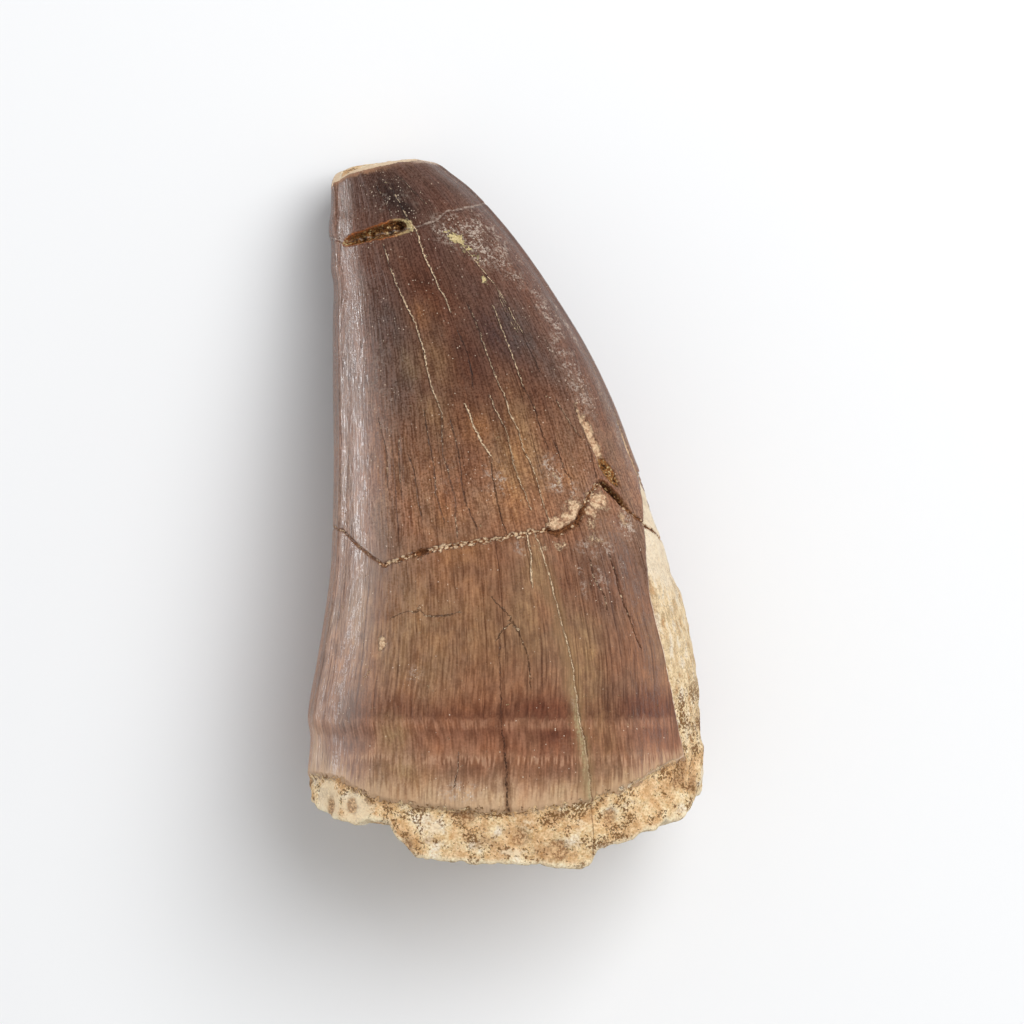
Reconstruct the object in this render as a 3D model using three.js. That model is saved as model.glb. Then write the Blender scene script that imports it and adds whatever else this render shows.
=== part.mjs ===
// A fossil mosasaur tooth crown, lying on its side. Millimetres, +Z up.
// The tip points along +Y, the broken base faces -Y, and the broad face of the crown is up.
//
// The skin is a loft of cross-sections along Y. Each point of it has two growth coordinates: an
// angle round the section (0 = right edge, 90 = top, 180 = left edge, 270 = underside, degrees)
// and a height y along the tooth. Breaks, edges and pits are given in those two coordinates.
import * as THREE from 'three';

// ---- Driving dimensions -------------------------------------------------------------------

const COLUMNS = 90;              // points round each section
const ENAMEL_STEP = 0.38;        // thickness of the enamel over the dentine
const MIDDLE = 0.6;              // height of the widest line within a section, as a share
const ROUND_TOP = 2.15;          // superellipse power of the upper half (2 is an ellipse)
const ROUND_UNDER = 2.6;         // the same for the squarer underside
const BOX_MIDDLE = [0, 0.57];    // middle of the outline in X and Y, moved to the origin

// Section profiles as [y, value]: the left and right edges, the top and the underside.
const LEFT_EDGE = [
  [-34, -17.9], [-24.5, -17.75], [-20, -17.35], [-18, -17.6], [-13.5, -16.9], [-9, -16.2],
  [-4.7, -15.6], [-1, -15.4], [4, -15.35], [11, -15.5], [17, -15.55], [20.5, -15.5],
  [22, -15.75], [24.4, -15.8], [25.2, -16.0], [26.3, -16.0], [27.3, -15.85], [34, -15.85],
];
const RIGHT_EDGE = [
  [-34, 18.0], [-24, 18.0], [-20.5, 17.75], [-15.5, 17.4], [-12, 17.0], [-9.5, 16.35],
  [-5, 15.15], [0, 13.5], [5, 11.4], [10, 9.5], [15, 7.1], [20, 4.0], [24, 1.25],
  [27, -1.15], [29.5, -3.5], [31, -5.4], [31.6, -6.1], [32.5, -7.4],
];
const TOP = [
  [-34, 26.8], [-24, 27.0], [-15, 26.8], [-5, 25.2], [5, 22.4], [15, 18.6], [22, 15.2],
  [28, 12.2], [34, 9.0],
];
const UNDERSIDE = [
  [-34, 1.0], [-26, -0.3], [-22, -0.3], [14, -0.3], [20, 0.35], [26, 1.2], [30, 2.0],
  [34, 3.0],
];

// Lines round the tooth as [angle, y].
const TIP_RIM = [
  [0, 31.9], [28, 32.0], [44, 32.05], [80, 31.8], [105, 31.45], [131, 30.95], [150, 30.4],
  [169, 29.95], [180, 30.2], [200, 31.0], [215, 31.4], [230, 31.6], [256, 31.9], [290, 32.1],
  [315, 32.15], [340, 32.1],
];
const TIP_BREAK = [
  [0, 27.9], [10, 28.0], [41, 27.6], [65, 27.1], [75, 26.3], [91, 25.6], [116, 25.1],
  [145, 24.5], [171, 24.9], [200, 24.6], [225, 25.3], [250, 24.4], [275, 24.9],
  [300, 26.2], [325, 26.9], [345, 27.6],
];
const MAIN_BREAK = [
  [0, -2.2], [10, -1.9], [20, -1.4], [27, -0.9], [32, -0.4], [37, 0.6], [41, 1.5],
  [44, 2.3], [47, 2.6], [49, 2.3], [52, 1.8], [55, 1.2], [57, 0.5], [59, -0.1], [61, -0.8],
  [66, -1.4], [70, -1.8], [73, -1.5], [79, -1.6], [86, -2.0], [100, -2.6], [113, -3.1],
  [126, -4.1], [132, -4.5], [145, -2.8], [155, -1.5], [168, -1.2], [195, -1.6], [215, -3.4],
  [235, -4.4], [255, -3.0], [275, -2.2], [295, -3.1], [315, -3.9], [335, -3.0], [350, -2.4],
];
const ENAMEL_EDGE = [
  [0, -21.0], [29, -21.4], [42, -22.5], [51, -23.5], [65, -24.9], [74, -25.5],
  [91, -26.1], [106, -25.9], [123, -25.3], [130, -24.9], [139, -24.0], [148, -23.2],
  [168, -23.3], [195, -23.6], [215, -24.4], [235, -25.0], [255, -25.2], [280, -24.8],
  [300, -24.2], [315, -22.9], [330, -21.6],
];
const BASE_RIM = [
  [0, -24.6], [10, -24.9], [18, -25.2], [25, -26.2], [31, -27.0], [39, -27.2],
  [43, -27.8], [48, -27.9], [51, -28.4], [54, -28.8], [64, -29.4], [65.5, -30.7],
  [68, -31.0], [74, -31.0], [79, -30.8], [88, -30.6], [100, -30.6], [105, -30.4],
  [108, -30.5], [116, -30.1], [119, -29.3], [122, -28.4], [125, -27.2], [132, -26.9],
  [137, -27.4], [143, -27.1], [152, -26.75], [159, -26.2], [169, -25.6], [180, -25.2],
  [195, -25.6], [208, -26.4], [222, -26.2], [236, -27.6], [250, -28.6], [264, -29.4],
  [272, -28.6], [285, -29.0], [300, -28.2], [312, -26.9], [326, -26.4], [340, -25.2],
];

// The band on the right edge that has lost its enamel: its two sides as [y, angle]. The sides
// cross where the band ends.
const BARE_BAND_TOP = [
  [-40, 29], [-21.4, 29], [-18, 32], [-14.5, 35], [-11.4, 37], [-7, 37.5], [-4.2, 35],
  [-0.6, 27], [2.1, 18], [3.5, 12], [5, -4], [40, -20],
];
const BARE_BAND_UNDER = [
  [-40, -34], [-21, -33], [-16, -29], [-10, -31], [-5, -24], [-1, -20], [2.5, -9],
  [5, 4], [40, 20],
];

// Ridges, grooves and pits: angle, height, half sizes (mm) and depth.
const CARINAE = [
  { angle: 8, width: 5, height: 0.25 },
  { angle: 160, width: 4, height: 0.22 },
];
const UPPER_PRISMS = { from: 20, to: 152, count: 7, sag: 0.07 };
const UNDER_PRISMS = { from: 200, to: 340, count: 5, sag: 0.3 };
const GROOVES = [
  { line: MAIN_BREAK, halfWidth: 0.38, depth: 0.42 },
  { line: TIP_BREAK, halfWidth: 0.4, depth: 0.2 },
];
const SLOT_PIT = { from: 92, to: 146, halfHeight: 0.65, depth: 1.2 };
const SIDE_PIT = { angle: 39.5, y: 2.4, halfWidth: 1.2, halfHeight: 2.4, lean: 0.5, depth: 1 };
const CHIP_BAND = { angle: 42.5, y: 6.9, halfWidth: 0.6, halfHeight: 3, lean: 0.2, depth: 0.22 };
const LONG_CRACK = [
  [-34, 66], [-25, 66], [-20, 69], [-12, 73], [-6, 77], [-1.5, 79],
];
const LONG_CRACK_STEP = 0.2;     // how far the piece right of the long crack stands proud

// Unevenness: the size of the lumps and how high they stand.
const CROWN_SWELL = { size: 9, height: 0.12 };
const ROOT_LUMPS = { size: 2.6, height: 0.3 };
const ROOT_GRAIN = { size: 1.1, height: 0.12 };
const BREAK_FACE_LUMPS = { size: 2.4, height: 0.5 };

// The worn tip and the broken base.
const TIP_BEVEL = 0.7;
const TIP_CROWN = 31.75;         // y of the middle of the worn tip
const BASE_BEVEL = 0.3;
const BASE_FACE = -27.2;         // y of the broken face round the pulp hollow
const PULP_RADIUS = 0.5;         // share of the section
const PULP_DEPTH = 2.6;

// ---- Curves and unevenness ----------------------------------------------------------------

const clamp = THREE.MathUtils.clamp;
const lerp = THREE.MathUtils.lerp;
const smoothstep = THREE.MathUtils.smoothstep;

/** The value at `at` on straight lines between [at, value] points. */
function straight(points, at) {
  let k = 0;
  while (k < points.length - 2 && at > points[k + 1][0]) k += 1;
  const [a, va] = points[k];
  const [b, vb] = points[k + 1];
  return lerp(va, vb, clamp((at - a) / (b - a), 0, 1));
}

/** The value at `at` on a smooth curve through [at, value] points. */
function smooth(points, at) {
  const last = points.length - 1;
  const slope = (k) => {
    const before = points[Math.max(k - 1, 0)];
    const after = points[Math.min(k + 1, last)];
    return (after[1] - before[1]) / (after[0] - before[0]);
  };
  let k = 0;
  while (k < last - 1 && at > points[k + 1][0]) k += 1;
  const step = points[k + 1][0] - points[k][0];
  const t = clamp((at - points[k][0]) / step, 0, 1);
  const s = 1 - t;
  return (1 + 2 * t) * s * s * points[k][1] + t * s * s * step * slope(k)
    + t * t * (3 - 2 * t) * points[k + 1][1] - t * t * s * step * slope(k + 1);
}

/** The height of a line round the tooth, given as [angle, y] points from 0 degrees on. */
function around(line, angle) {
  const turn = (angle % 360 + 360) % 360;
  return straight([...line, [360, line[0][1]]], turn);
}

/** A random number from -1 to 1 that belongs to one corner of a lattice. */
function cornerValue(i, j, k) {
  const wave = Math.sin(i * 127.1 + j * 311.7 + k * 74.7) * 43758.5453;
  return 2 * (wave - Math.floor(wave)) - 1;
}

/** Smooth unevenness from -1 to 1 whose lumps are about `size` across. */
function unevenness(x, y, z, size) {
  const p = [x / size, y / size, z / size];
  const cell = p.map(Math.floor);
  const [u, v, w] = p.map((value, axis) => smoothstep(value - cell[axis], 0, 1));
  let sum = 0;
  for (let corner = 0; corner < 8; corner += 1) {
    const dx = corner & 1;
    const dy = (corner >> 1) & 1;
    const dz = corner >> 2;
    const weight = (dx ? u : 1 - u) * (dy ? v : 1 - v) * (dz ? w : 1 - w);
    sum += weight * cornerValue(cell[0] + dx, cell[1] + dy, cell[2] + dz);
  }
  return sum;
}

// ---- The plain crown ----------------------------------------------------------------------

/** Middle, half width and the heights above and below the widest line of the section at y. */
function section(y) {
  const left = smooth(LEFT_EDGE, y);
  const right = smooth(RIGHT_EDGE, y);
  const top = smooth(TOP, y);
  const under = smooth(UNDERSIDE, y);
  const widest = lerp(under, top, MIDDLE);
  return {
    x: (left + right) / 2,
    z: widest,
    half: (right - left) / 2,
    up: top - widest,
    down: widest - under,
  };
}

/** The point of the plain crown at an angle and height, and its outward direction in X and Z. */
function plainPoint(angle, y) {
  const { x, z, half, up, down } = section(y);
  const c = Math.cos(THREE.MathUtils.degToRad(angle));
  const s = Math.sin(THREE.MathUtils.degToRad(angle));
  const power = s > 0 ? ROUND_TOP : ROUND_UNDER;
  const rise = s > 0 ? up : down;
  const r = (Math.abs(c) ** power + Math.abs(s) ** power) ** (-1 / power);
  const out = new THREE.Vector2(
    Math.sign(c) * Math.abs(c * r) ** (power - 1) / half,
    Math.sign(s) * Math.abs(s * r) ** (power - 1) / rise,
  ).normalize();
  return { x: x + half * r * c, z: z + rise * r * s, outX: out.x, outZ: out.y, radius: half * r };
}

// ---- Relief -------------------------------------------------------------------------------

/** How far, in millimetres, a point lies inside the enamel: negative where it is bare. */
function insideEnamel(angle, y, radius) {
  const signed = angle > 180 ? angle - 360 : angle;
  const arc = THREE.MathUtils.degToRad(radius);
  const fromBand = Math.max(
    (signed - straight(BARE_BAND_TOP, y)) * arc,
    (straight(BARE_BAND_UNDER, y) - signed) * arc,
  );
  return Math.min(y - around(ENAMEL_EDGE, angle), fromBand);
}

/** Flat prism faces round part of the crown, with ridges where they meet. */
function prisms({ from, to, count, sag }, angle) {
  if (angle <= from || angle >= to) return 0;
  const place = ((angle - from) / (to - from)) * count % 1;
  return -sag * (1 - (2 * place - 1) ** 2);
}

/** A leaning oval hollow with soft sides. */
function hollow(pit, angle, y, radius) {
  const along = y - pit.y;
  const across = (angle - pit.angle) * THREE.MathUtils.degToRad(radius) - along * pit.lean;
  const reach = Math.hypot(across / pit.halfWidth, along / pit.halfHeight);
  return -pit.depth * (1 - smoothstep(reach, 0.4, 1.1));
}

/** The slot worn along the tip break. */
function slot(angle, y) {
  const middle = (SLOT_PIT.from + SLOT_PIT.to) / 2;
  const reachRound = (angle - middle) / ((SLOT_PIT.to - SLOT_PIT.from) / 2);
  const reachAlong = (y - around(TIP_BREAK, angle)) / SLOT_PIT.halfHeight;
  return -SLOT_PIT.depth * (1 - smoothstep(Math.hypot(reachRound ** 3, reachAlong), 0.4, 1.15));
}

/** How far the real surface stands out from the plain crown. */
function relief(angle, y, point) {
  const { x, z, radius } = point;
  const enamel = smoothstep(insideEnamel(angle, y, radius), -0.35, 0.35);
  let height = ENAMEL_STEP * (enamel - 1);
  height += CROWN_SWELL.height * unevenness(x, y, z, CROWN_SWELL.size);
  for (const carina of CARINAE) {
    height += enamel * carina.height * Math.exp(-(((angle - carina.angle) / carina.width) ** 2));
  }
  height += enamel * (prisms(UPPER_PRISMS, angle) + prisms(UNDER_PRISMS, angle));
  for (const groove of GROOVES) {
    height -= groove.depth * Math.exp(-(((y - around(groove.line, angle)) / groove.halfWidth) ** 2));
  }
  height += slot(angle, y);
  height += hollow(SIDE_PIT, angle, y, radius);
  height += hollow(CHIP_BAND, angle, y, radius);
  const beyondCrack = (straight(LONG_CRACK, y) - angle) * THREE.MathUtils.degToRad(radius);
  if (beyondCrack > 0 && y < around(MAIN_BREAK, angle)) {
    height += LONG_CRACK_STEP * Math.exp(-beyondCrack / 4);
  }
  height += (1 - enamel) * ROOT_LUMPS.height * unevenness(x, y, z, ROOT_LUMPS.size);
  height += (1 - enamel) * ROOT_GRAIN.height * unevenness(x, y, z, ROOT_GRAIN.size);
  return height;
}

/** A point of the finished skin, drawn in from the side by `inset` millimetres. */
function skinPoint(angle, y, inset = 0) {
  const point = plainPoint(angle, y);
  const height = relief(angle, y, point) - inset;
  const z = point.z + point.outZ * height;
  return new THREE.Vector3(point.x + point.outX * height, y, Math.max(z, 0));
}

// ---- Rings from tip to base ---------------------------------------------------------------

const ANGLES = Array.from({ length: COLUMNS }, (_, column) => (column * 360) / COLUMNS);

/** A ring of skin at heights that follow a line round the tooth. */
function ring(heightAt, inset = 0) {
  return ANGLES.map((angle) => skinPoint(angle, heightAt(angle), inset));
}

/** Rings evenly spread between two lines, without the lines themselves. */
function ringsBetween(upper, lower, count) {
  return Array.from({ length: count }, (_, k) => {
    const share = (k + 1) / (count + 1);
    return ring((angle) => lerp(upper(angle), lower(angle), share));
  });
}

/** Rings at fixed distances from a line. */
function ringsAlong(line, offsets) {
  return offsets.map((offset) => ring((angle) => around(line, angle) + offset));
}

/** Rings that close an end, from the rim inwards, with a height of its own at each point. */
function endRings(rim, middle, shares, faceHeight) {
  return shares.map((share) => rim.map((point) => {
    const inner = point.clone().lerp(middle, share);
    inner.y = faceHeight(inner, point, share);
    inner.z = Math.max(inner.z, 0);
    return inner;
  }));
}

const fromLine = (line, offset) => (angle) => around(line, angle) + offset;

const sides = [
  ring(fromLine(TIP_RIM, 0), TIP_BEVEL),
  ring(fromLine(TIP_RIM, -TIP_BEVEL * 0.3), TIP_BEVEL * 0.3),
  ring(fromLine(TIP_RIM, -TIP_BEVEL)),
  ...ringsBetween(fromLine(TIP_RIM, -TIP_BEVEL), fromLine(TIP_BREAK, 1), 3),
  ...ringsAlong(TIP_BREAK, [1, 0.5, 0, -0.5, -1]),
  ...ringsBetween(fromLine(TIP_BREAK, -1), fromLine(MAIN_BREAK, 0.9), 12),
  ...ringsAlong(MAIN_BREAK, [0.9, 0.4, 0, -0.4, -0.9]),
  ...ringsBetween(fromLine(MAIN_BREAK, -0.9), fromLine(ENAMEL_EDGE, 0.35), 9),
  ...ringsAlong(ENAMEL_EDGE, [0.35, -0.35]),
  ...ringsBetween(fromLine(ENAMEL_EDGE, -0.35), fromLine(BASE_RIM, BASE_BEVEL), 3),
  ring(fromLine(BASE_RIM, BASE_BEVEL)),
  ring(fromLine(BASE_RIM, 0), BASE_BEVEL),
];

/** The worn tip: a gently domed facet from the rim to its middle. */
function wornTip(rim) {
  const { x, z } = section(TIP_CROWN);
  const middle = new THREE.Vector3(x, TIP_CROWN, z);
  const height = (inner, point, share) => lerp(point.y, TIP_CROWN, share) + 0.25 * share * (1 - share);
  return { rings: endRings(rim, middle, [0.6, 0.25], height), pole: middle };
}

/** The broken base: a lumpy face with the shallow hollow of the pulp in its middle. */
function brokenBase(rim) {
  const { x, z } = section(BASE_FACE);
  const faceHeight = (inner, point, share) => {
    const hollowed = PULP_DEPTH * smoothstep(share, 1 - PULP_RADIUS, 1);
    const lumps = BREAK_FACE_LUMPS.height
      * unevenness(inner.x, inner.z, 7.5, BREAK_FACE_LUMPS.size);
    const settled = smoothstep(share, 0, 0.35);
    return lerp(point.y, BASE_FACE, settled) + hollowed + settled * lumps;
  };
  const middle = new THREE.Vector3(x, BASE_FACE + PULP_DEPTH, z);
  const shares = [0.06, 0.16, 0.28, 0.42, 0.56, 0.7, 0.85];
  return { rings: endRings(rim, middle, shares, faceHeight), pole: middle };
}

/** One closed skin over rings listed from tip to base, with a pole at each end. */
function closedSkin(rings, tipPole, basePole) {
  const points = [tipPole, ...rings.flat(), basePole];
  const at = (row, column) => 1 + row * COLUMNS + (column % COLUMNS);
  const basePoleIndex = points.length - 1;
  const faces = [];
  for (let column = 0; column < COLUMNS; column += 1) {
    faces.push(0, at(0, column + 1), at(0, column));
    for (let row = 0; row < rings.length - 1; row += 1) {
      faces.push(at(row, column), at(row, column + 1), at(row + 1, column));
      faces.push(at(row, column + 1), at(row + 1, column + 1), at(row + 1, column));
    }
    faces.push(basePoleIndex, at(rings.length - 1, column), at(rings.length - 1, column + 1));
  }
  const geometry = new THREE.BufferGeometry().setFromPoints(points);
  geometry.setIndex(faces);
  return geometry;
}

// ---- The tooth ----------------------------------------------------------------------------

function makeTooth() {
  const tip = wornTip(sides[0]);
  const base = brokenBase(sides[sides.length - 1]);
  const rings = [...tip.rings.reverse(), ...sides, ...base.rings];
  const geometry = closedSkin(rings, tip.pole, base.pole);
  geometry.translate(-BOX_MIDDLE[0], -BOX_MIDDLE[1], 0);
  geometry.computeVertexNormals();
  const material = new THREE.MeshStandardMaterial({ color: 0x7c5640, roughness: 0.42, metalness: 0 });
  const tooth = new THREE.Mesh(geometry, material);
  tooth.name = 'tooth';
  return tooth;
}

const group = new THREE.Group();
group.add(makeTooth());

export default group;
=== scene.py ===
"""Looks of the fossil mosasaur tooth: one detailed skin round the solid, and a plain studio.

The skin is a loft in the same growth coordinates as the solid: an angle round the section
(0 = right edge, 90 = top, 180 = left edge, 270 = underside, degrees) and a height y along the
tooth in millimetres. Everything that is drawn on the tooth is placed in those two.
"""

import math
from functools import partial, reduce

import bpy
import numpy as np
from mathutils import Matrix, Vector


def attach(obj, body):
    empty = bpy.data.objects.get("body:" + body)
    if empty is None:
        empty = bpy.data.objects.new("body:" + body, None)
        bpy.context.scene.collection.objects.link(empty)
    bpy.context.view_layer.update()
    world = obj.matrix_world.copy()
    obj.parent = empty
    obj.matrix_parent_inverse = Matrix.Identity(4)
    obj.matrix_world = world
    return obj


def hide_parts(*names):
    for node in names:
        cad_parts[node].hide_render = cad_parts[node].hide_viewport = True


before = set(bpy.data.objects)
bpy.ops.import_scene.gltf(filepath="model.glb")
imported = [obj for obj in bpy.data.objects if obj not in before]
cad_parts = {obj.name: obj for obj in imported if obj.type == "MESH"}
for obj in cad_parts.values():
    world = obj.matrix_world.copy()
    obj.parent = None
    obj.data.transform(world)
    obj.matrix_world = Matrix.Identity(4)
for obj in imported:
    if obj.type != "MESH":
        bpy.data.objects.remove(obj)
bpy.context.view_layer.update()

# ---- The crown, as in the solid (millimetres and degrees) ----

MM = 0.001
ENAMEL_STEP = 0.38
MIDDLE = 0.6  # where a section is widest, as a share of its height
ROUND_TOP = 2.15  # how square the two halves of a section are; 2 is an ellipse
ROUND_UNDER = 2.6
BOX_MIDDLE = (0, 0.57)

# The edges as (height, place): in X for the sides, in Z for the top and the underside.
LEFT_EDGE = [
    (-34, -17.9), (-24.5, -17.75), (-20, -17.35), (-18, -17.6), (-13.5, -16.9), (-9, -16.2),
    (-4.7, -15.6), (-1, -15.4), (4, -15.35), (11, -15.5), (17, -15.55), (20.5, -15.5), (22, -15.75),
    (24.4, -15.8), (25.2, -16), (26.3, -16), (27.3, -15.85), (34, -15.85),
]
RIGHT_EDGE = [
    (-34, 18), (-24, 18), (-20.5, 17.75), (-15.5, 17.4), (-12, 17), (-9.5, 16.35), (-5, 15.15),
    (0, 13.5), (5, 11.4), (10, 9.5), (15, 7.1), (20, 4), (24, 1.25), (27, -1.15), (29.5, -3.5),
    (31, -5.4), (31.6, -6.1), (32.5, -7.4),
]
TOP = [
    (-34, 26.8), (-24, 27), (-15, 26.8), (-5, 25.2), (5, 22.4), (15, 18.6), (22, 15.2), (28, 12.2),
    (34, 9),
]
UNDERSIDE = [
    (-34, 1), (-26, -0.3), (-22, -0.3), (14, -0.3), (20, 0.35), (26, 1.2), (30, 2), (34, 3),
]

# The lines round the crown as (angle, height).
TIP_RIM = [
    (0, 31.9), (28, 32), (44, 32.05), (80, 31.8), (105, 31.45), (131, 30.95), (150, 30.4),
    (169, 29.95), (180, 30.2), (200, 31), (215, 31.4), (230, 31.6), (256, 31.9), (290, 32.1),
    (315, 32.15), (340, 32.1),
]
TIP_BREAK = [
    (0, 27.9), (10, 28), (41, 27.6), (65, 27.1), (75, 26.3), (91, 25.6), (116, 25.1), (145, 24.5),
    (171, 24.9), (200, 24.6), (225, 25.3), (250, 24.4), (275, 24.9), (300, 26.2), (325, 26.9),
    (345, 27.6),
]
MAIN_BREAK = [
    (0, -2.2), (10, -1.9), (20, -1.4), (27, -0.9), (32, -0.4), (37, 0.6), (41, 1.5), (44, 2.3),
    (47, 2.6), (49, 2.3), (52, 1.8), (55, 1.2), (57, 0.5), (59, -0.1), (61, -0.8), (66, -1.4),
    (70, -1.8), (73, -1.5), (79, -1.6), (86, -2), (100, -2.6), (113, -3.1), (126, -4.1),
    (132, -4.5), (145, -2.8), (155, -1.5), (168, -1.2), (195, -1.6), (215, -3.4), (235, -4.4),
    (255, -3), (275, -2.2), (295, -3.1), (315, -3.9), (335, -3), (350, -2.4),
]
ENAMEL_EDGE = [
    (0, -21), (29, -21.4), (42, -22.5), (51, -23.5), (65, -24.9), (74, -25.5), (91, -26.1),
    (106, -25.9), (123, -25.3), (130, -24.9), (139, -24), (148, -23.2), (168, -23.3), (195, -23.6),
    (215, -24.4), (235, -25), (255, -25.2), (280, -24.8), (300, -24.2), (315, -22.9), (330, -21.6),
]
BASE_RIM = [
    (0, -24.6), (10, -24.9), (18, -25.2), (25, -26.2), (31, -27), (39, -27.2), (43, -27.8),
    (48, -27.9), (51, -28.4), (54, -28.8), (64, -29.4), (65.5, -30.7), (68, -31), (74, -31),
    (79, -30.8), (88, -30.6), (100, -30.6), (105, -30.4), (108, -30.5), (116, -30.1), (119, -29.3),
    (122, -28.4), (125, -27.2), (132, -26.9), (137, -27.4), (143, -27.1), (152, -26.75),
    (159, -26.2), (169, -25.6), (180, -25.2), (195, -25.6), (208, -26.4), (222, -26.2),
    (236, -27.6), (250, -28.6), (264, -29.4), (272, -28.6), (285, -29), (300, -28.2), (312, -26.9),
    (326, -26.4), (340, -25.2),
]

# The two sides of the bare dentine band and the long cracks as (height, angle). These and the
# ridges and pits below differ a little from those of the solid, which are simpler.
BARE_BAND_TOP = [
    (-40, 29), (-21.4, 29), (-18, 32), (-14.5, 35), (-11.4, 37), (-7, 37.2), (-4.2, 34.3),
    (-0.6, 26.6), (2.1, 18), (3.5, 12), (5, -4), (40, -20),
]
BARE_BAND_UNDER = [
    (-40, -34), (-21, -33), (-16, -29), (-10, -31), (-5, -24), (-1, -20), (2.5, -9), (5, 4),
    (40, 20),
]
LONG_CRACK = [
    (-34, 65.5), (-28.2, 65.5), (-25.6, 66), (-21.8, 67), (-17.2, 69), (-13.6, 70.5), (-10.1, 72.5),
    (-6.3, 74.5), (-2.8, 76.5), (-1.5, 77.5),
]
DARK_CRACK = [
    (-27, 89.2), (-23.8, 90), (-22.3, 90.3), (-19.4, 91), (-17.2, 91), (-13.7, 92), (-11, 92.3),
]
LONG_CRACK_STEP = 0.12
# Low blunt ridges on the two flanks, and the slight hollows of the long facets.
CARINAE = [
    dict(angle=[(0, 8)], width=5, height=0.25),
    dict(angle=[(-24, 163), (-17, 160), (-4, 159), (8, 157), (20, 156)], width=4, height=0.24),
]
UPPER_PRISMS = dict(start=20, end=152, count=7, sag=0.03)
UNDER_PRISMS = dict(start=200, end=340, count=5, sag=0.3)
# The slot under the tip, and the pits and the chipped band beside the main break.
SLOT_LINE = [(88, 26), (100, 25.75), (116, 25.15), (130, 24.8), (150, 24.2)]
SLOT_PIT = dict(start=93, end=147, half_height=0.62, depth=1.2)
SIDE_PITS = [
    dict(angle=38.8, y=3.6, half_width=1, half_height=1.5, lean=0.35, depth=0.4),
    dict(angle=40.3, y=1.5, half_width=0.7, half_height=1.6, lean=0.85, depth=0.9),
]
CHIP_BAND = dict(angle=42.2, y=6.6, half_width=0.6, half_height=3.2, lean=0.15, depth=0.2)
# The worn tip and the broken base: their bevels, their faces and the hollow of the pulp.
TIP_BEVEL = 0.7
TIP_CROWN = 31.75
TIP_WEAR = [(0, 0.1), (70, 0.12), (84, 0.26), (120, 0.32), (175, 0.34), (200, 0.3), (360, 0.1)]
BASE_BEVEL = 0.3
BASE_FACE = -27.2
PULP_RADIUS = 0.5
PULP_DEPTH = 2.6

# ---- What the solid leaves to this script ----

TOP_COLUMNS = 226  # columns over the upper half, which the photo shows
UNDER_COLUMNS = 120
# Lines that the rows crowd round: how far from them, how many rows, and how many before those.
CROWDED_LINES = [
    ("tip break", 1.2, 21, 16), ("main break", 1.2, 29, 66), ("enamel edge", 0.6, 11, 56),
]
LAST_ROWS = 16  # rows between the enamel's edge and the base
# How the two bevels round off, as shares of each: along the tooth and inwards.
TIP_ROUNDING = [(0, 1), (0.12, 0.5), (0.3, 0.24), (0.6, 0.08), (1, 0)]
BASE_ROUNDING = [(1, 0), (0.55, 0.1), (0.2, 0.4), (0, 1)]
# The rings that close the two ends, as shares of the way from the rim to the middle.
TIP_RINGS = [0.94, 0.86, 0.76, 0.65, 0.54, 0.43, 0.32, 0.22, 0.13, 0.06]
BASE_RINGS = np.linspace(0.012, 0.985, 42)

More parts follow.
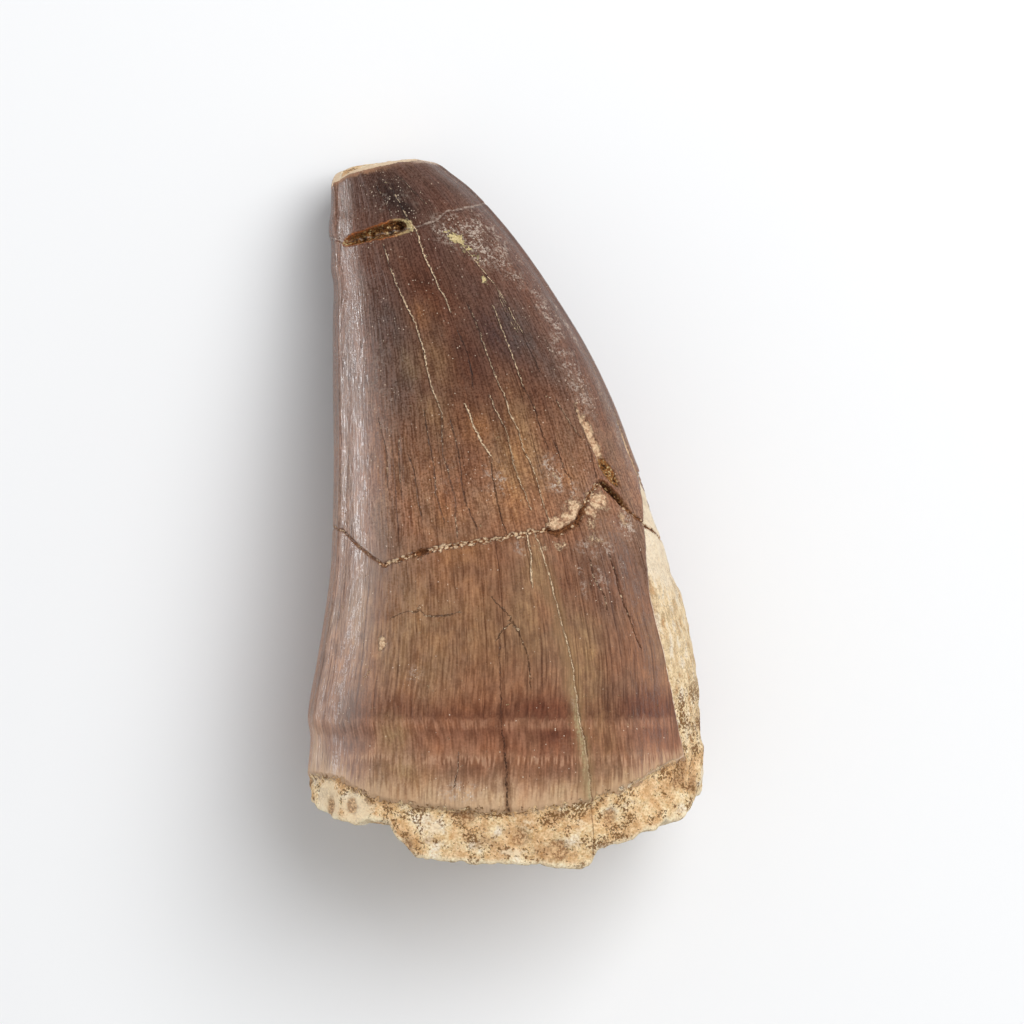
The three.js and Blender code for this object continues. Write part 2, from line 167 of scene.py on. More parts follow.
# Cracks down the crown: half width in millimetres, how light the filling is by height, from -1
# (dark) to 1 (pale), and the path as (angle, height).
CRACKS = [
    (0.055, [(-2, -0.2), (4, -0.3), (7, 0.1), (10, 0.6), (17, 0.9), (24, 0.3)],
     [(115, 24), (114, 21.9), (113, 20.5), (111, 18.7), (108, 17.5), (107, 16.1), (106, 14.6),
      (106, 12.8), (105, 11), (104, 10), (103, 8.9), (104, 6.9), (105, 5.1), (104, 4.2), (104, 2.9),
      (103, 1.3), (104, -0.7), (104, -2.1)]),
    (0.06, [(17, 0.4), (18.5, 0.9), (25, 1), (26.5, 0.2), (29, 0)],
     [(97, 29.2), (95, 27.9), (93, 26.6), (91, 25.5), (92, 24.1), (92, 22.6), (91, 21.2),
      (91, 20.1), (89, 19.2), (89, 18)]),
    (0.05, [(0, -0.5)], [(88, 16.4), (87, 14.6), (87, 12.8), (88, 11.2)]),
    (0.08, [(0, 1)], [(93, 9.6), (92, 8.9), (91, 7.4), (89, 5.9), (87, 5.1)]),
    (0.05, [(0, -0.6)], [(87, 4.6), (88, 3.3), (88, 1.4), (88, -0.4), (87, -1.8)]),
    (0.05, [(0, 0.8)], [(67, 24), (64, 22.9), (62, 21.6), (60, 20.6)]),
    (0.04, [(0, 0.4)], [(59, 20), (58, 18.8), (58, 17.4), (57, 15.9)]),
    (0.035, [(0, 0.1)], [(60, 19.6), (61, 18.1), (60, 16.2)]),
    (0.05, [(0, -0.3)], [(58, 15.2), (57, 14), (57, 12.4)]),
    (0.05, [(-1, 0.4), (4, 0.5), (8, 0.6), (12, 0.7), (16, 0.1), (19, 0)],
     [(79, 18.6), (78, 17.1), (78, 14.9), (78, 13.4), (77, 11.8), (76, 10.3), (76, 8.9), (74, 7.4),
      (74, 5.6), (72, 4), (72, 2.1), (72, 0.7), (71, -0.9)]),
    (0.05, [(5, -0.6), (10, -0.3), (11, 0.4), (14, 0.7), (18, 0.4)],
     [(66, 18.5), (67, 16.6), (67, 14.6), (67, 13), (67, 11.4), (65, 9.4), (65, 7.9), (64, 5.6)]),
    (0.05, [(0, -0.2)], [(61, 6.3), (60, 5.3), (60, 3.8), (58, 3)]),
    (0.045, [(0, 0.3)], [(54, 10), (53, 9.3), (51, 8), (48, 6.9)]),
    (0.05, [(0, -0.6)], [(46, 9.4), (45, 8.1), (45, 6.6), (45, 5.2), (46, 3.8), (47, 2.8)]),
    (0.07, [(0, 0.7)], [(80, -1.8), (80, -3.9), (81, -5.3), (81, -6.3)]),
    (0.06, [(0, -0.35)], [(93, -11), (91, -10.2), (88, -9.5), (86, -10.6), (84, -12.4), (83, -15)]),
    (0.05, [(0, -0.25)], [(94, -7.4), (89, -8.8), (86, -10.2)]),
    (0.05, [(0, -0.2)],
     [(127, -9.1), (122, -8.6), (118, -8.6), (117.5, -8.2), (115, -9), (108, -8.9), (104, -8.6)]),
    (0.05, [(0, -0.3)], [(104, -21), (104, -22.4), (105, -23.8)]),
    (0.035, [(0, 0.1)], [(108, 29.6), (106, 28.4), (104, 26.9)]),
    (0.035, [(0, 0.1)], [(84, 30.4), (80, 29), (76, 27.9)]),
    (0.05, [(0, -0.2)], [(131, 8.4), (128, 5.2), (129, 2.2)]),
    (0.05, [(0, -0.3)], [(122, 6.7), (123, 4.3), (123, 1.5)]),
    (0.045, [(0, -0.5)], [(119, 5.3), (117, 3.5), (117, 1.7), (116, -0.4)]),
    (0.045, [(0, -0.5)], [(110, 9), (110, 7), (109, 3.7), (110, 1.7), (108, -0.7)]),
    (0.045, [(0, -0.5)], [(100, 8.2), (99, 6.2), (99, 4.1), (100, 2.6), (99, 0.5), (97, -1.2)]),
    (0.045, [(0, 0.5)],
     [(82, 10.4), (81, 9), (79, 7.5), (79, 5.9), (79, 4.3), (78, 2.2), (77, 0.5)]),
    (0.07, [(0, -0.2)], [(60, -3.9), (60, -5.7), (57, -7.2), (57, -8.4)]),
    (0.07, [(0, -0.35)],
     [(52, -3.6), (51, -5.7), (51, -7.2), (49, -9.1), (48, -10.8), (47, -11.8)]),
]
CRACK_REACH = 0.6  # how far each side of a crack its distance is kept
CRACK_WINDOW = 12  # how many degrees each side of a crack are looked at
FAR = 9  # a distance for places that a line doesn't come near

# Kinds of unevenness: how high and how far across the lumps are, in millimetres.
RAGGED = [(0.6, 1.3), (0.4, 0.45)]  # in all edges, as a share of what each edge takes
JAGGED = [(0.07, 0.5), (0.03, 0.22)]  # in the breaks across the crown
WANDER = [(0.07, 0.9), (0.035, 0.35)]  # in the cracks
BARE_LUMPS = [(0.3, 2.6), (0.12, 1.1), (0.06, 0.45)]  # on the bare dentine
FACE_LUMPS = [(0.55, 2.4, 7.5), (0.22, 0.9, 3.5), (0.09, 0.4, 1.5)]  # on the base, with a seed

# How high and deep the marks are, in millimetres.
SWELLING = 0.12
ROLLING = (0.01, 0.055)  # of the enamel: on the left, on the right
EDGE_WIDTH = (0.14, 0.44)  # half the slope at the enamel's edge: beside the band, at the base
BREAK_DEPTH = (0.22, 0.62)  # filled, open
BREAK_WIDTH = (0.09, 0.21)
BREAK_SAG = 0.05
TIP_BREAK_DEPTH = 0.08
TIP_BREAK_WIDTH = 0.09
PIT_GRAINS = 0.4
CHALK_DEPTH = 0.08
LONG_CRACK_DEPTH = 0.1
LONG_CRACK_WIDTH = 0.1
FINE_CRACK_DEPTH = 0.04
ROOT_PIT_DEPTH = 0.35

# Soft patches of colour: angle, height, half width and half height in millimetres, strength.
PATCHES = {
    "plum": [
        (68, 15.9, 3, 3.2, 0.95), (83, 13.6, 2, 2.4, 0.7), (98, 28.6, 5.5, 2.6, 0.55),
        (75, 20, 2.5, 2.6, 0.5), (118, 17.5, 2.6, 6, 0.5), (88, 23.5, 3.4, 3, 0.5),
        (45, -5, 4, 4.5, 0.5), (57, -6, 3, 5, 0.45), (140, -18, 2.5, 4.5, 0.55),
        (76, 8.6, 1.3, 2, 0.4), (93, 6, 1.5, 4, 0.25), (60, -15, 2.4, 1.6, 0.3),
        (250, 12, 9, 9, 0.5), (210, 22, 5, 6, 0.5), (300, 20, 6, 6, 0.5),
    ],
    # painted_sheen: a bluish-grey painted sheen, in patches round the crown.
    "painted_sheen": [
        (58, 16.2, 1.6, 3.4, 0.75), (50, 13, 1.4, 3, 0.5), (118, 12, 2.2, 3.5, 0.6),
        (123, 16.5, 2, 4, 0.5), (131, -2, 2, 5, 0.3), (220, 5, 6, 10, 0.5),
    ],
    "rust": [
        (97, 20.6, 1.9, 2.6, 0.9), (92, 19, 1.6, 2, 0.8), (90, 13, 2, 2.6, 0.75),
        (88, 10.2, 2.4, 1.6, 0.5), (66, 10.6, 1.4, 2.4, 0.6), (80, 8.6, 1.2, 3, 0.4),
        (163, -13.5, 1.6, 4.5, 0.7), (72, -6.7, 1.6, 1.4, 0.4), (30, 18.5, 0.8, 4.5, 0.6),
        (100, 14, 1.6, 1.4, 0.4), (250, -12, 5, 6, 0.5), (290, 4, 4, 6, 0.4),
    ],
    "orange": [
        (104, -3.4, 1.9, 1, 0.65), (83, 1.4, 1.3, 2.4, 0.55), (76, 5.4, 1, 3, 0.4),
        (90, 7.6, 1.3, 1.4, 0.5), (104, 17.6, 1.2, 1.2, 0.35), (109, -0.2, 1, 1.2, 0.4),
        (60, 2.9, 0.9, 0.8, 0.5), (46, -8, 0.8, 1.6, 0.3),
    ],
    "red": [
        (46, -16.9, 4.2, 1.5, 0.85), (80, -17, 3, 1.1, 0.95), (75, -19.2, 3.4, 2.4, 0.85),
        (100, -18.6, 5.5, 1.6, 0.6), (44, -18.9, 3.6, 1.4, 0.6), (92, -8.2, 1.5, 2.2, 0.35),
        (93, -13.6, 1.6, 2.2, 0.3), (122, -16.8, 3, 0.7, 0.5), (100, -22.4, 5, 1, 0.45),
        (76, -22.6, 3.4, 1, 0.6), (150, -20.6, 3, 1.2, 0.5), (86, -12, 1.4, 3.4, 0.35),
        (230, -18, 9, 2.4, 0.7), (290, -18, 8, 2.4, 0.6),
    ],
    "olive": [
        (124, -19.4, 1.5, 1.9, 0.7), (121, -23, 2.4, 1.8, 0.6), (79, -4.5, 0.8, 2.4, 0.7),
        (80, 3.8, 1.3, 3, 0.5), (112, 13.2, 1.6, 1.6, 0.25), (116, -11, 4.5, 5, 0.35),
        (84, -9, 1.4, 4, 0.45), (72, 6, 1.2, 4.5, 0.4), (97, -10, 3.5, 4.5, 0.25),
        (66, -13, 1.4, 3.6, 0.6), (62, -19.6, 1.2, 3, 0.45), (58, -24, 4, 1, 0.4),
        (103, 13.4, 1.4, 1.8, 0.3), (107, 9, 1.4, 1.8, 0.3), (270, -22, 6, 3, 0.5),
    ],
    "chalk": [
        (60.5, 0.4, 0.8, 0.9, 0.75), (69, -1, 0.75, 0.7, 1), (64.5, -0.3, 0.7, 0.75, 0.8),
        (50.8, 1.1, 0.75, 0.7, 0.9), (47.5, 1.2, 0.55, 0.8, 0.8), (54.5, 0.2, 0.6, 0.45, 0.9),
        (45, 8.6, 0.3, 1.2, 0.6), (42.6, 7.2, 0.5, 1.3, 0.9), (41.4, 5.9, 0.5, 1.2, 0.9),
        (41.8, 4.7, 0.3, 0.9, 0.75), (69, -2.8, 0.75, 0.45, 0.5), (75, -3, 0.55, 0.35, 0.5),
        (40.5, -0.5, 0.5, 0.6, 0.6), (56.5, -2.4, 1, 0.4, 0.5), (56, -1, 0.6, 0.7, 0.45),
        (130, -11.4, 0.4, 0.6, 0.95), (64, 2.9, 0.7, 0.8, 0.36), (14, 5.6, 0.3, 2.6, 0.8),
        (134, -14.2, 0.4, 0.6, 0.3),
    ],
    "scuff": [
        (43, 25, 2.6, 2.2, 0.8), (44, 22.3, 1.8, 2.4, 0.6), (33, 18.1, 1.4, 3, 0.75),
        (26, 23.3, 1.2, 3, 0.5), (62, 25.2, 2.8, 1.6, 1), (59, 23.6, 1.6, 1.4, 1),
        (52, 24.4, 1.8, 2.4, 0.9), (20, 16.5, 0.8, 3.5, 0.6), (65, 3.4, 1.1, 1.6, 1),
        (59, 1.8, 1, 1.4, 0.6), (56, -2.9, 2, 1, 0.8), (57, -5.4, 0.9, 2.2, 0.5),
        (48, -5.6, 0.5, 2.6, 0.45), (40, -1, 1.1, 1.4, 0.9), (64, -5.6, 0.4, 2.4, 0.5),
        (99, 28.4, 2, 1.8, 0.7), (104, 3, 5, 6, 0.25), (38, 12.5, 1.8, 5, 0.65),
        (75, -21, 3, 3, 0.2), (103, -24.4, 1.8, 0.9, 0.9), (20, 8, 1.4, 6, 0.5),
        (128, 11, 2, 7, 0.35), (85, 3, 1, 2, 0.5), (84, -3, 0.8, 1, 0.5), (89, 3, 0.8, 1.6, 0.5),
        (70, -16.6, 0.6, 1.6, 0.4), (118, -14, 1.2, 1, 0.4),
    ],
    "gold": [
        (94, 25.9, 0.5, 0.6, 0.9), (68.5, 24.6, 0.75, 0.65, 1), (64.5, 23.7, 0.6, 0.6, 0.6),
        (61.5, 22.9, 0.4, 0.6, 0.45), (64.3, 20.9, 0.32, 0.3, 1), (146, 24.2, 0.4, 0.4, 0.5),
        (72, 25.1, 0.5, 0.3, 0.5),
    ],
    "soot": [
        (99, 28.8, 1.4, 1.7, 1.3), (93, 27.5, 1, 1.3, 1.2), (163, 24.6, 0.5, 0.5, 0.6),
        (90, 14.8, 0.5, 1.2, 0.35), (150, 23.9, 0.3, 0.25, 0.6), (96, 20.9, 1, 0.8, 0.35),
    ],
    "lobe": [
        (152, -25.4, 2.8, 2.2, 1), (161, -21.6, 1.7, 2.6, 0.9), (137, -25.9, 2.4, 1.3, 0.9),
        (122, -29.2, 1.6, 0.9, 0.8), (110, -27.4, 0.9, 0.8, 0.6), (84, -27.3, 1.1, 1.2, 0.45),
        (88, -29.6, 2.2, 0.5, 0.6), (69, -27.4, 0.9, 1.2, 0.45), (44, -24.3, 1, 0.8, 0.4),
    ],
    "brown": [
        (30, -22.4, 1.2, 1.8, 1), (22, -24, 1.6, 1.6, 0.8), (35.6, -5.9, 0.45, 0.6, 1),
        (36.2, -8.4, 0.8, 1.3, 0.6), (35, -12, 0.6, 2, 0.45), (34, -19, 0.8, 1.4, 0.6),
        (97, -28.6, 1.6, 0.7, 0.8), (77, -29.4, 2.4, 1, 0.7), (90, -27.6, 1.1, 0.8, 0.55),
        (104, -26.2, 1.4, 0.35, 0.8), (112, -28.6, 1.2, 0.4, 0.7), (118, -28.9, 0.4, 0.4, 0.9),
        (132, -25.2, 0.6, 0.5, 0.8), (75, -26.3, 1.3, 0.5, 0.8), (54, -25.3, 1.6, 0.35, 0.6),
        (62, -29, 1.6, 0.4, 0.7), (96, -27.2, 0.4, 0.9, 0.5), (230, -27, 2, 1, 0.6),
        (290, -27, 3, 1, 0.6),
    ],
}

# How much of the main break is open and dark (0) or filled with pale grains (1), by angle.
BREAK_FILL = [
    (0, 0.6), (30, 0.3), (44, 0.3), (47, 0.5), (55, 0.4), (59, 0), (62, 0), (63, 0.4), (64, 0),
    (67, 0), (68, 0.2), (69, 0), (73, 0), (74, 0.8), (80, 1), (111, 1), (114, 0.5), (115, 0),
    (119, 0), (121, 0.6), (131, 0.6), (136, 0.35), (150, 0.3), (158, 0.5), (200, 0.5), (240, 0.9),
    (300, 0.4), (360, 0.6),
]

# Pits in the root: angle, height, radius.
ROOT_PITS = [
    (151, -25.9, 0.85), (139, -25.7, 0.8), (101, -26.4, 0.7), (86, -28.3, 0.8), (119, -29.2, 0.7),
    (75, -29.4, 0.9), (60, -26.5, 0.6), (33, -23.8, 0.7), (20, -20, 0.5), (230, -27, 0.9),
    (280, -27.2, 0.8), (325, -24.6, 0.7),
]


def srgb(red, green, blue):
    """A linear colour from the 0 to 255 values that a paint chart gives."""
    def linear(value):
        value /= 255
        return value / 12.92 if value <= 0.04045 else ((value + 0.055) / 1.055) ** 2.4
    return linear(red), linear(green), linear(blue), 1


# Height and colour, from the enamel's lower edge to the tip.
ENAMEL_BY_HEIGHT = [(height, srgb(*tint)) for height, *tint in (
    (-26.5, 190, 158, 126), (-24.6, 180, 145, 114), (-23.4, 163, 127, 99), (-22.2, 150, 111, 85),
    (-21.6, 144, 102, 76), (-21.2, 160, 119, 92), (-20.8, 146, 102, 76), (-19, 142, 97, 72),
    (-18.05, 138, 94, 70), (-17.75, 112, 71, 50), (-16.9, 122, 80, 57), (-15.2, 134, 95, 70),
    (-10, 130, 93, 68), (-4, 128, 90, 66), (0, 136, 96, 70), (5, 122, 85, 61), (9, 109, 75, 55),
    (14, 98, 66, 50), (20, 96, 64, 49), (26, 92, 62, 49), (31, 90, 63, 51),
)]

# Stain colours, and the colour of a bluish-grey painted sheen.
STAINS_AND_SHEEN = {
    "plum": srgb(66, 44, 40), "painted_sheen": srgb(80, 69, 64), "rust": srgb(84, 46, 28),
    "red": srgb(96, 52, 34), "olive": srgb(150, 120, 82), "orange": srgb(156, 106, 64),
}
# Left flank tints, partly its own colour, partly painted sheen; paler low down as painted light.
FLANK_TINT_AND_SHEEN = srgb(126, 91, 72)
FLANK_LOW_TINT_AND_LIGHT = srgb(164, 128, 104)
CORNER = srgb(206, 178, 150)
ENAMEL_END = srgb(188, 154, 120)
CAP_EDGE = srgb(158, 118, 90)
CAP = srgb(232, 202, 168)
COMB = srgb(204, 164, 134)
# A pale line along the enamel's edge beside the bare band: a painted highlight.
EDGE_HIGHLIGHT = srgb(244, 220, 194)
OLIVE_PALE = srgb(178, 166, 126)
CHALK = srgb(200, 156, 122)
CHALK_PALE = srgb(238, 206, 168)
SCUFF = srgb(186, 170, 156)
# Pale specks, partly real grains and partly painted glints.
PALE_SPECK_AND_GLINT = srgb(222, 202, 180)
GOLD = srgb(226, 206, 152)
SOOT = srgb(42, 24, 18)
LINE_TINT = (0.52, 0.42, 0.35, 1)
CRACK_TINT = (0.36, 0.25, 0.18, 1)
# Lightens the painted glints along fine lines.
PAINTED_GLINT_TINT = (1.5, 1.5, 1.48, 1)
CRACK_DARK = srgb(70, 40, 26)
CRACK_LIGHT = srgb(246, 216, 178)
BREAK_BROWN = srgb(150, 100, 64)
DENTINE = srgb(238, 200, 152)
DENTINE_PALE = srgb(250, 234, 208)
DENTINE_YELLOW = srgb(247, 221, 176)
DENTINE_GREY = srgb(222, 196, 158)
DENTINE_OCHRE = srgb(222, 180, 132)
# A pale band along the base's broken rim: a painted highlight.
DENTINE_RIM_HIGHLIGHT = srgb(255, 240, 206)
DENTINE_STAIN = srgb(184, 139, 98)
DENTINE_BROWN = srgb(138, 96, 60)
LOBE = srgb(255, 231, 194)
PIT_RUST = srgb(164, 94, 40)
PIT_OLIVE = srgb(132, 98, 56)
PIT_DARK = srgb(54, 28, 14)
PULP_SAND = srgb(176, 132, 88)

# The marks that the skin carries one by one, and those it carries in fours.
SINGLE_MARKS = ("inside", "main_break", "tip_break", "break_fill", "pulp", "long_crack",
                "dark_crack", "below", "rim")
GROUPED_MARKS = {
    "crack": ("crack_sine", "crack_cosine", "crack_width", "crack_tone"),
    "stains": ("plum", "rust", "red", "olive"),
    "more_stains_and_sheen": ("painted_sheen", "orange", "brown", "lobe"),
    "wear": ("chalk", "scuff", "gold", "soot"),
    "holes": ("pit", "pit_rim", "pit_dark", "root_pit"),
}


# ---- Curves and unevenness ----

def straight(points, at):
    """Straight lines through (place, value) points."""
    places, values = zip(*points)
    return np.interp(at, places, values)


def smooth(points, at):
    """A smooth curve through (place, value) points, held level beyond its ends."""
    places, values = (np.array(column, float) for column in zip(*points))
    slopes = np.empty_like(values)
    slopes[1:-1] = (values[2:] - values[:-2]) / (places[2:] - places[:-2])
    slopes[0] = (values[1] - values[0]) / (places[1] - places[0])
    slopes[-1] = (values[-1] - values[-2]) / (places[-1] - places[-2])
    at = np.clip(at, places[0], places[-1])
    k = np.clip(np.searchsorted(places, at, side="right") - 1, 0, len(places) - 2)
    step = places[k + 1] - places[k]
    t = (at - places[k]) / step
    s = 1 - t
    return ((1 + 2 * t) * s * s * values[k] + t * s * s * step * slopes[k]
            + t * t * (3 - 2 * t) * values[k + 1] - t * t * s * step * slopes[k + 1])


def around(line, angle):
    """The height of a line that closes round the tooth."""
    return straight(line + [(360, line[0][1])], np.mod(angle, 360))


def between(ends, share):
    """The value a share of the way from one of two ends to the other."""
    return ends[0] + share * (ends[1] - ends[0])


def smoothstep(value, low, high):
    t = np.clip((value - low) / (high - low), 0, 1)
    return t * t * (3 - 2 * t)


def corner_value(i, j, k):
    wave = np.sin(i * 127.1 + j * 311.7 + k * 74.7) * 43758.5453
    return 2 * (wave - np.floor(wave)) - 1


def unevenness(x, y, z, size):
    """Smooth unevenness from -1 to 1 whose lumps are about `size` across."""
    p = np.stack(np.broadcast_arrays(x, y, z)) / size
    cell = np.floor(p)
    u, v, w = smoothstep(p - cell, 0, 1)
    total = 0
    for corner in range(8):
        dx, dy, dz = corner & 1, corner >> 1 & 1, corner >> 2
        weight = (u if dx else 1 - u) * (v if dy else 1 - v) * (w if dz else 1 - w)
        total = total + weight * corner_value(cell[0] + dx, cell[1] + dy, cell[2] + dz)
    return total


# ---- The plain crown ----

def section(y):
    """Middle in X, widest level in Z, half width, and reach up and down from that level."""
    left, right = smooth(LEFT_EDGE, y), smooth(RIGHT_EDGE, y)
    top, under = smooth(TOP, y), smooth(UNDERSIDE, y)
    widest = under + MIDDLE * (top - under)
    return (left + right) / 2, widest, (right - left) / 2, top - widest, widest - under


def plain_point(angle, y):
    """Place of the plain crown in X and Z, outward direction in X and Z, millimetres a degree."""
    x, z, half, up, down = section(y)
    c, s = np.cos(np.radians(angle)), np.sin(np.radians(angle))
    power = np.where(s > 0, ROUND_TOP, ROUND_UNDER)
    rise = np.where(s > 0, up, down)
    r = (np.abs(c) ** power + np.abs(s) ** power) ** (-1 / power)
    out_x = np.sign(c) * np.abs(c * r) ** (power - 1) / half
    out_z = np.sign(s) * np.abs(s * r) ** (power - 1) / rise
    length = np.hypot(out_x, out_z)
    arc = np.radians(1) * half * r
    return x + half * r * c, z + rise * r * s, out_x / length, out_z / length, arc


# ---- Marks and relief ----

def lumps(kinds, x, y, z):
    """Several kinds of unevenness, added up."""
    return sum(height * unevenness(x, y, z, across) for height, across in kinds)


def inside_enamel(angle, y, arc, rough):
    """Distance inside the enamel's edge, measured from the root and from the bare band."""
    signed = np.where(angle > 180, angle - 360, angle)
    above = (signed - straight(BARE_BAND_TOP, y)) * arc
    under = (smooth(BARE_BAND_UNDER, y) - signed) * arc + 0.4 * rough
    from_band = (above + under + np.hypot(above - under, 1.2)) / 2
    from_edge = y - around(ENAMEL_EDGE, angle) + 0.22 * rough
    return np.minimum(from_edge, from_band + 0.12 * rough)


def break_distance(line, angle, y, arc):
    """Distance from a break across the crown, measured square to the break."""
    slope = (around(line, angle + 1) - around(line, angle - 1)) / (2 * arc)
    return (y - around(line, angle)) / np.hypot(1, slope)


def prisms(face, angle):
    """The slight hollow of each long flat facet."""
    place = np.mod((angle - face["start"]) / (face["end"] - face["start"]) * face["count"], 1)
    within = (angle > face["start"]) & (angle < face["end"])
    return np.where(within, -face["sag"] * np.sin(math.pi * place) ** 2, 0)


def hollow(pit, angle, y, arc):
    """1 in the middle of a leaning oval hollow and 0 outside it."""
    along = y - pit["y"]
    across = (angle - pit["angle"]) * arc - along * pit["lean"]
    reach = np.hypot(across / pit["half_width"], along / pit["half_height"])
    return 1 - smoothstep(reach, 0.4, 1.1)


def slot(angle, y, inner, outer):
    """1 in the slot under the tip, falling to 0 from `inner` to `outer`, where 1 is its rim."""
    middle = (SLOT_PIT["start"] + SLOT_PIT["end"]) / 2
    reach_round = (angle - middle) / (SLOT_PIT["end"] - SLOT_PIT["start"]) * 2
    taper = 1 - 0.35 * smoothstep(reach_round, -0.6, 1)
    reach_along = (y - straight(SLOT_LINE, angle)) / (SLOT_PIT["half_height"] * taper)
    return 1 - smoothstep(np.hypot(reach_round ** 3, reach_along), inner, outer)


def line_distance(line, angle, y, arc):
    """Signed distance from a line that runs down the tooth, given as (height, angle)."""
    slope = (straight(line, y + 0.5) - straight(line, y - 0.5)) * arc
    return (angle - straight(line, y)) * arc / np.hypot(1, slope)


def patch(places, angle, y, arc):
    """The strongest of several soft oval patches at each point."""
    strength = np.zeros_like(y)
    for at, height, half_width, half_height, amount in places:
        turn = np.mod(angle - at + 180, 360) - 180
        reach = np.hypot(turn * arc / half_width, (y - height) / half_height)
        strength = np.maximum(strength, amount * np.exp(-reach ** 2 * 0.9))
    return strength


def crack_marks(angle, y, arc):
    """Signed distance to the nearest crack, with that crack's half width and filling."""
    nearest, width, tone = np.full_like(y, CRACK_REACH), np.zeros_like(y), np.zeros_like(y)
    for half_width, tones, path in CRACKS:
        for (a0, y0), (a1, y1) in zip(path, path[1:]):
            near = (y < max(y0, y1) + CRACK_REACH) & (y > min(y0, y1) - CRACK_REACH)
            near &= np.abs(angle - (a0 + a1) / 2) < CRACK_WINDOW
            if not near.any():
                continue
            run_x, run_y = (a1 - a0) * arc[near], y1 - y0
            from_x, from_y = (angle[near] - a0) * arc[near], y[near] - y0
            share = np.clip((from_x * run_x + from_y * run_y) / (run_x ** 2 + run_y ** 2), 0, 1)
            distance = np.hypot(from_x - share * run_x, from_y - share * run_y)
            side = np.sign(run_x * from_y - run_y * from_x)
            closer = distance < np.abs(nearest[near])
            spots_near = np.flatnonzero(near)[closer]
            nearest.flat[spots_near] = (side * distance)[closer]
            width.flat[spots_near] = half_width
            tone.flat[spots_near] = straight(tones, y.flat[spots_near])
    return nearest, width, tone


def describe(angle, y, place):
    """Every mark that the relief and the material read, at each point of the skin."""
    x, z, _, _, arc = place
    rough = lumps(RAGGED, x, y, z)
    jagged = y + lumps(JAGGED, x, y, z)
    wandering = angle + lumps(WANDER, x, y, z) / arc
    distance, width, tone = crack_marks(wandering, y, arc)
    patch_pit, trench = (hollow(pit, angle, y + 0.3 * rough, arc) for pit in SIDE_PITS)
    in_slot = slot(angle, y + 0.12 * rough, 0.5, 1.1)
    slot_rim = slot(angle, y + 0.15 * rough, 0.9, 1.5)
    slot_rim *= straight([(95, 1), (120, 0.6), (145, 0.9)], angle)
    # How much painted shade darkens the slot, by angle: most on its right.
    slot_shade = straight([(96, 0.8), (112, 0.6), (122, 0.15), (145, 0)], angle)
    phase = math.pi * np.clip(distance / CRACK_REACH, -1, 1)
    marks = {
        "enamel": inside_enamel(angle, y, arc, rough),
        "main_break": break_distance(MAIN_BREAK, angle, jagged, arc),
        "tip_break": break_distance(TIP_BREAK, angle, jagged, arc),
        "break_fill": straight(BREAK_FILL, angle),
        "slot": in_slot,
        "pit": np.maximum(in_slot, np.maximum(patch_pit, trench)),
        "pit_rim": np.maximum(slot_rim, 0.8 * np.maximum(patch_pit, trench)),
        "pit_dark": np.maximum(trench, in_slot * slot_shade),
        "long_crack": line_distance(LONG_CRACK, wandering, y, arc),
        "dark_crack": line_distance(DARK_CRACK, wandering, y, arc),
        "below": around(ENAMEL_EDGE, angle) - y,
        "rim": y - around(BASE_RIM, angle),
        "chip": hollow(CHIP_BAND, angle, y + 0.2 * rough, arc),
        "root_pit": patch([(at, height, radius, radius, 1) for at, height, radius in ROOT_PITS],
                          angle, y + 0.25 * rough, arc),
        "crack_distance": distance,
        "crack_sine": np.sin(phase),
        "crack_cosine": np.cos(phase),
        "crack_width": width,
        "crack_tone": tone,
        "rough": rough,
    }
    worn = around(TIP_RIM, angle) - y - straight(TIP_WEAR, angle) + 0.12 * rough
    marks["inside"] = np.minimum(marks["enamel"], worn)
    marks.update((name, patch(places, angle, y, arc)) for name, places in PATCHES.items())
    return marks


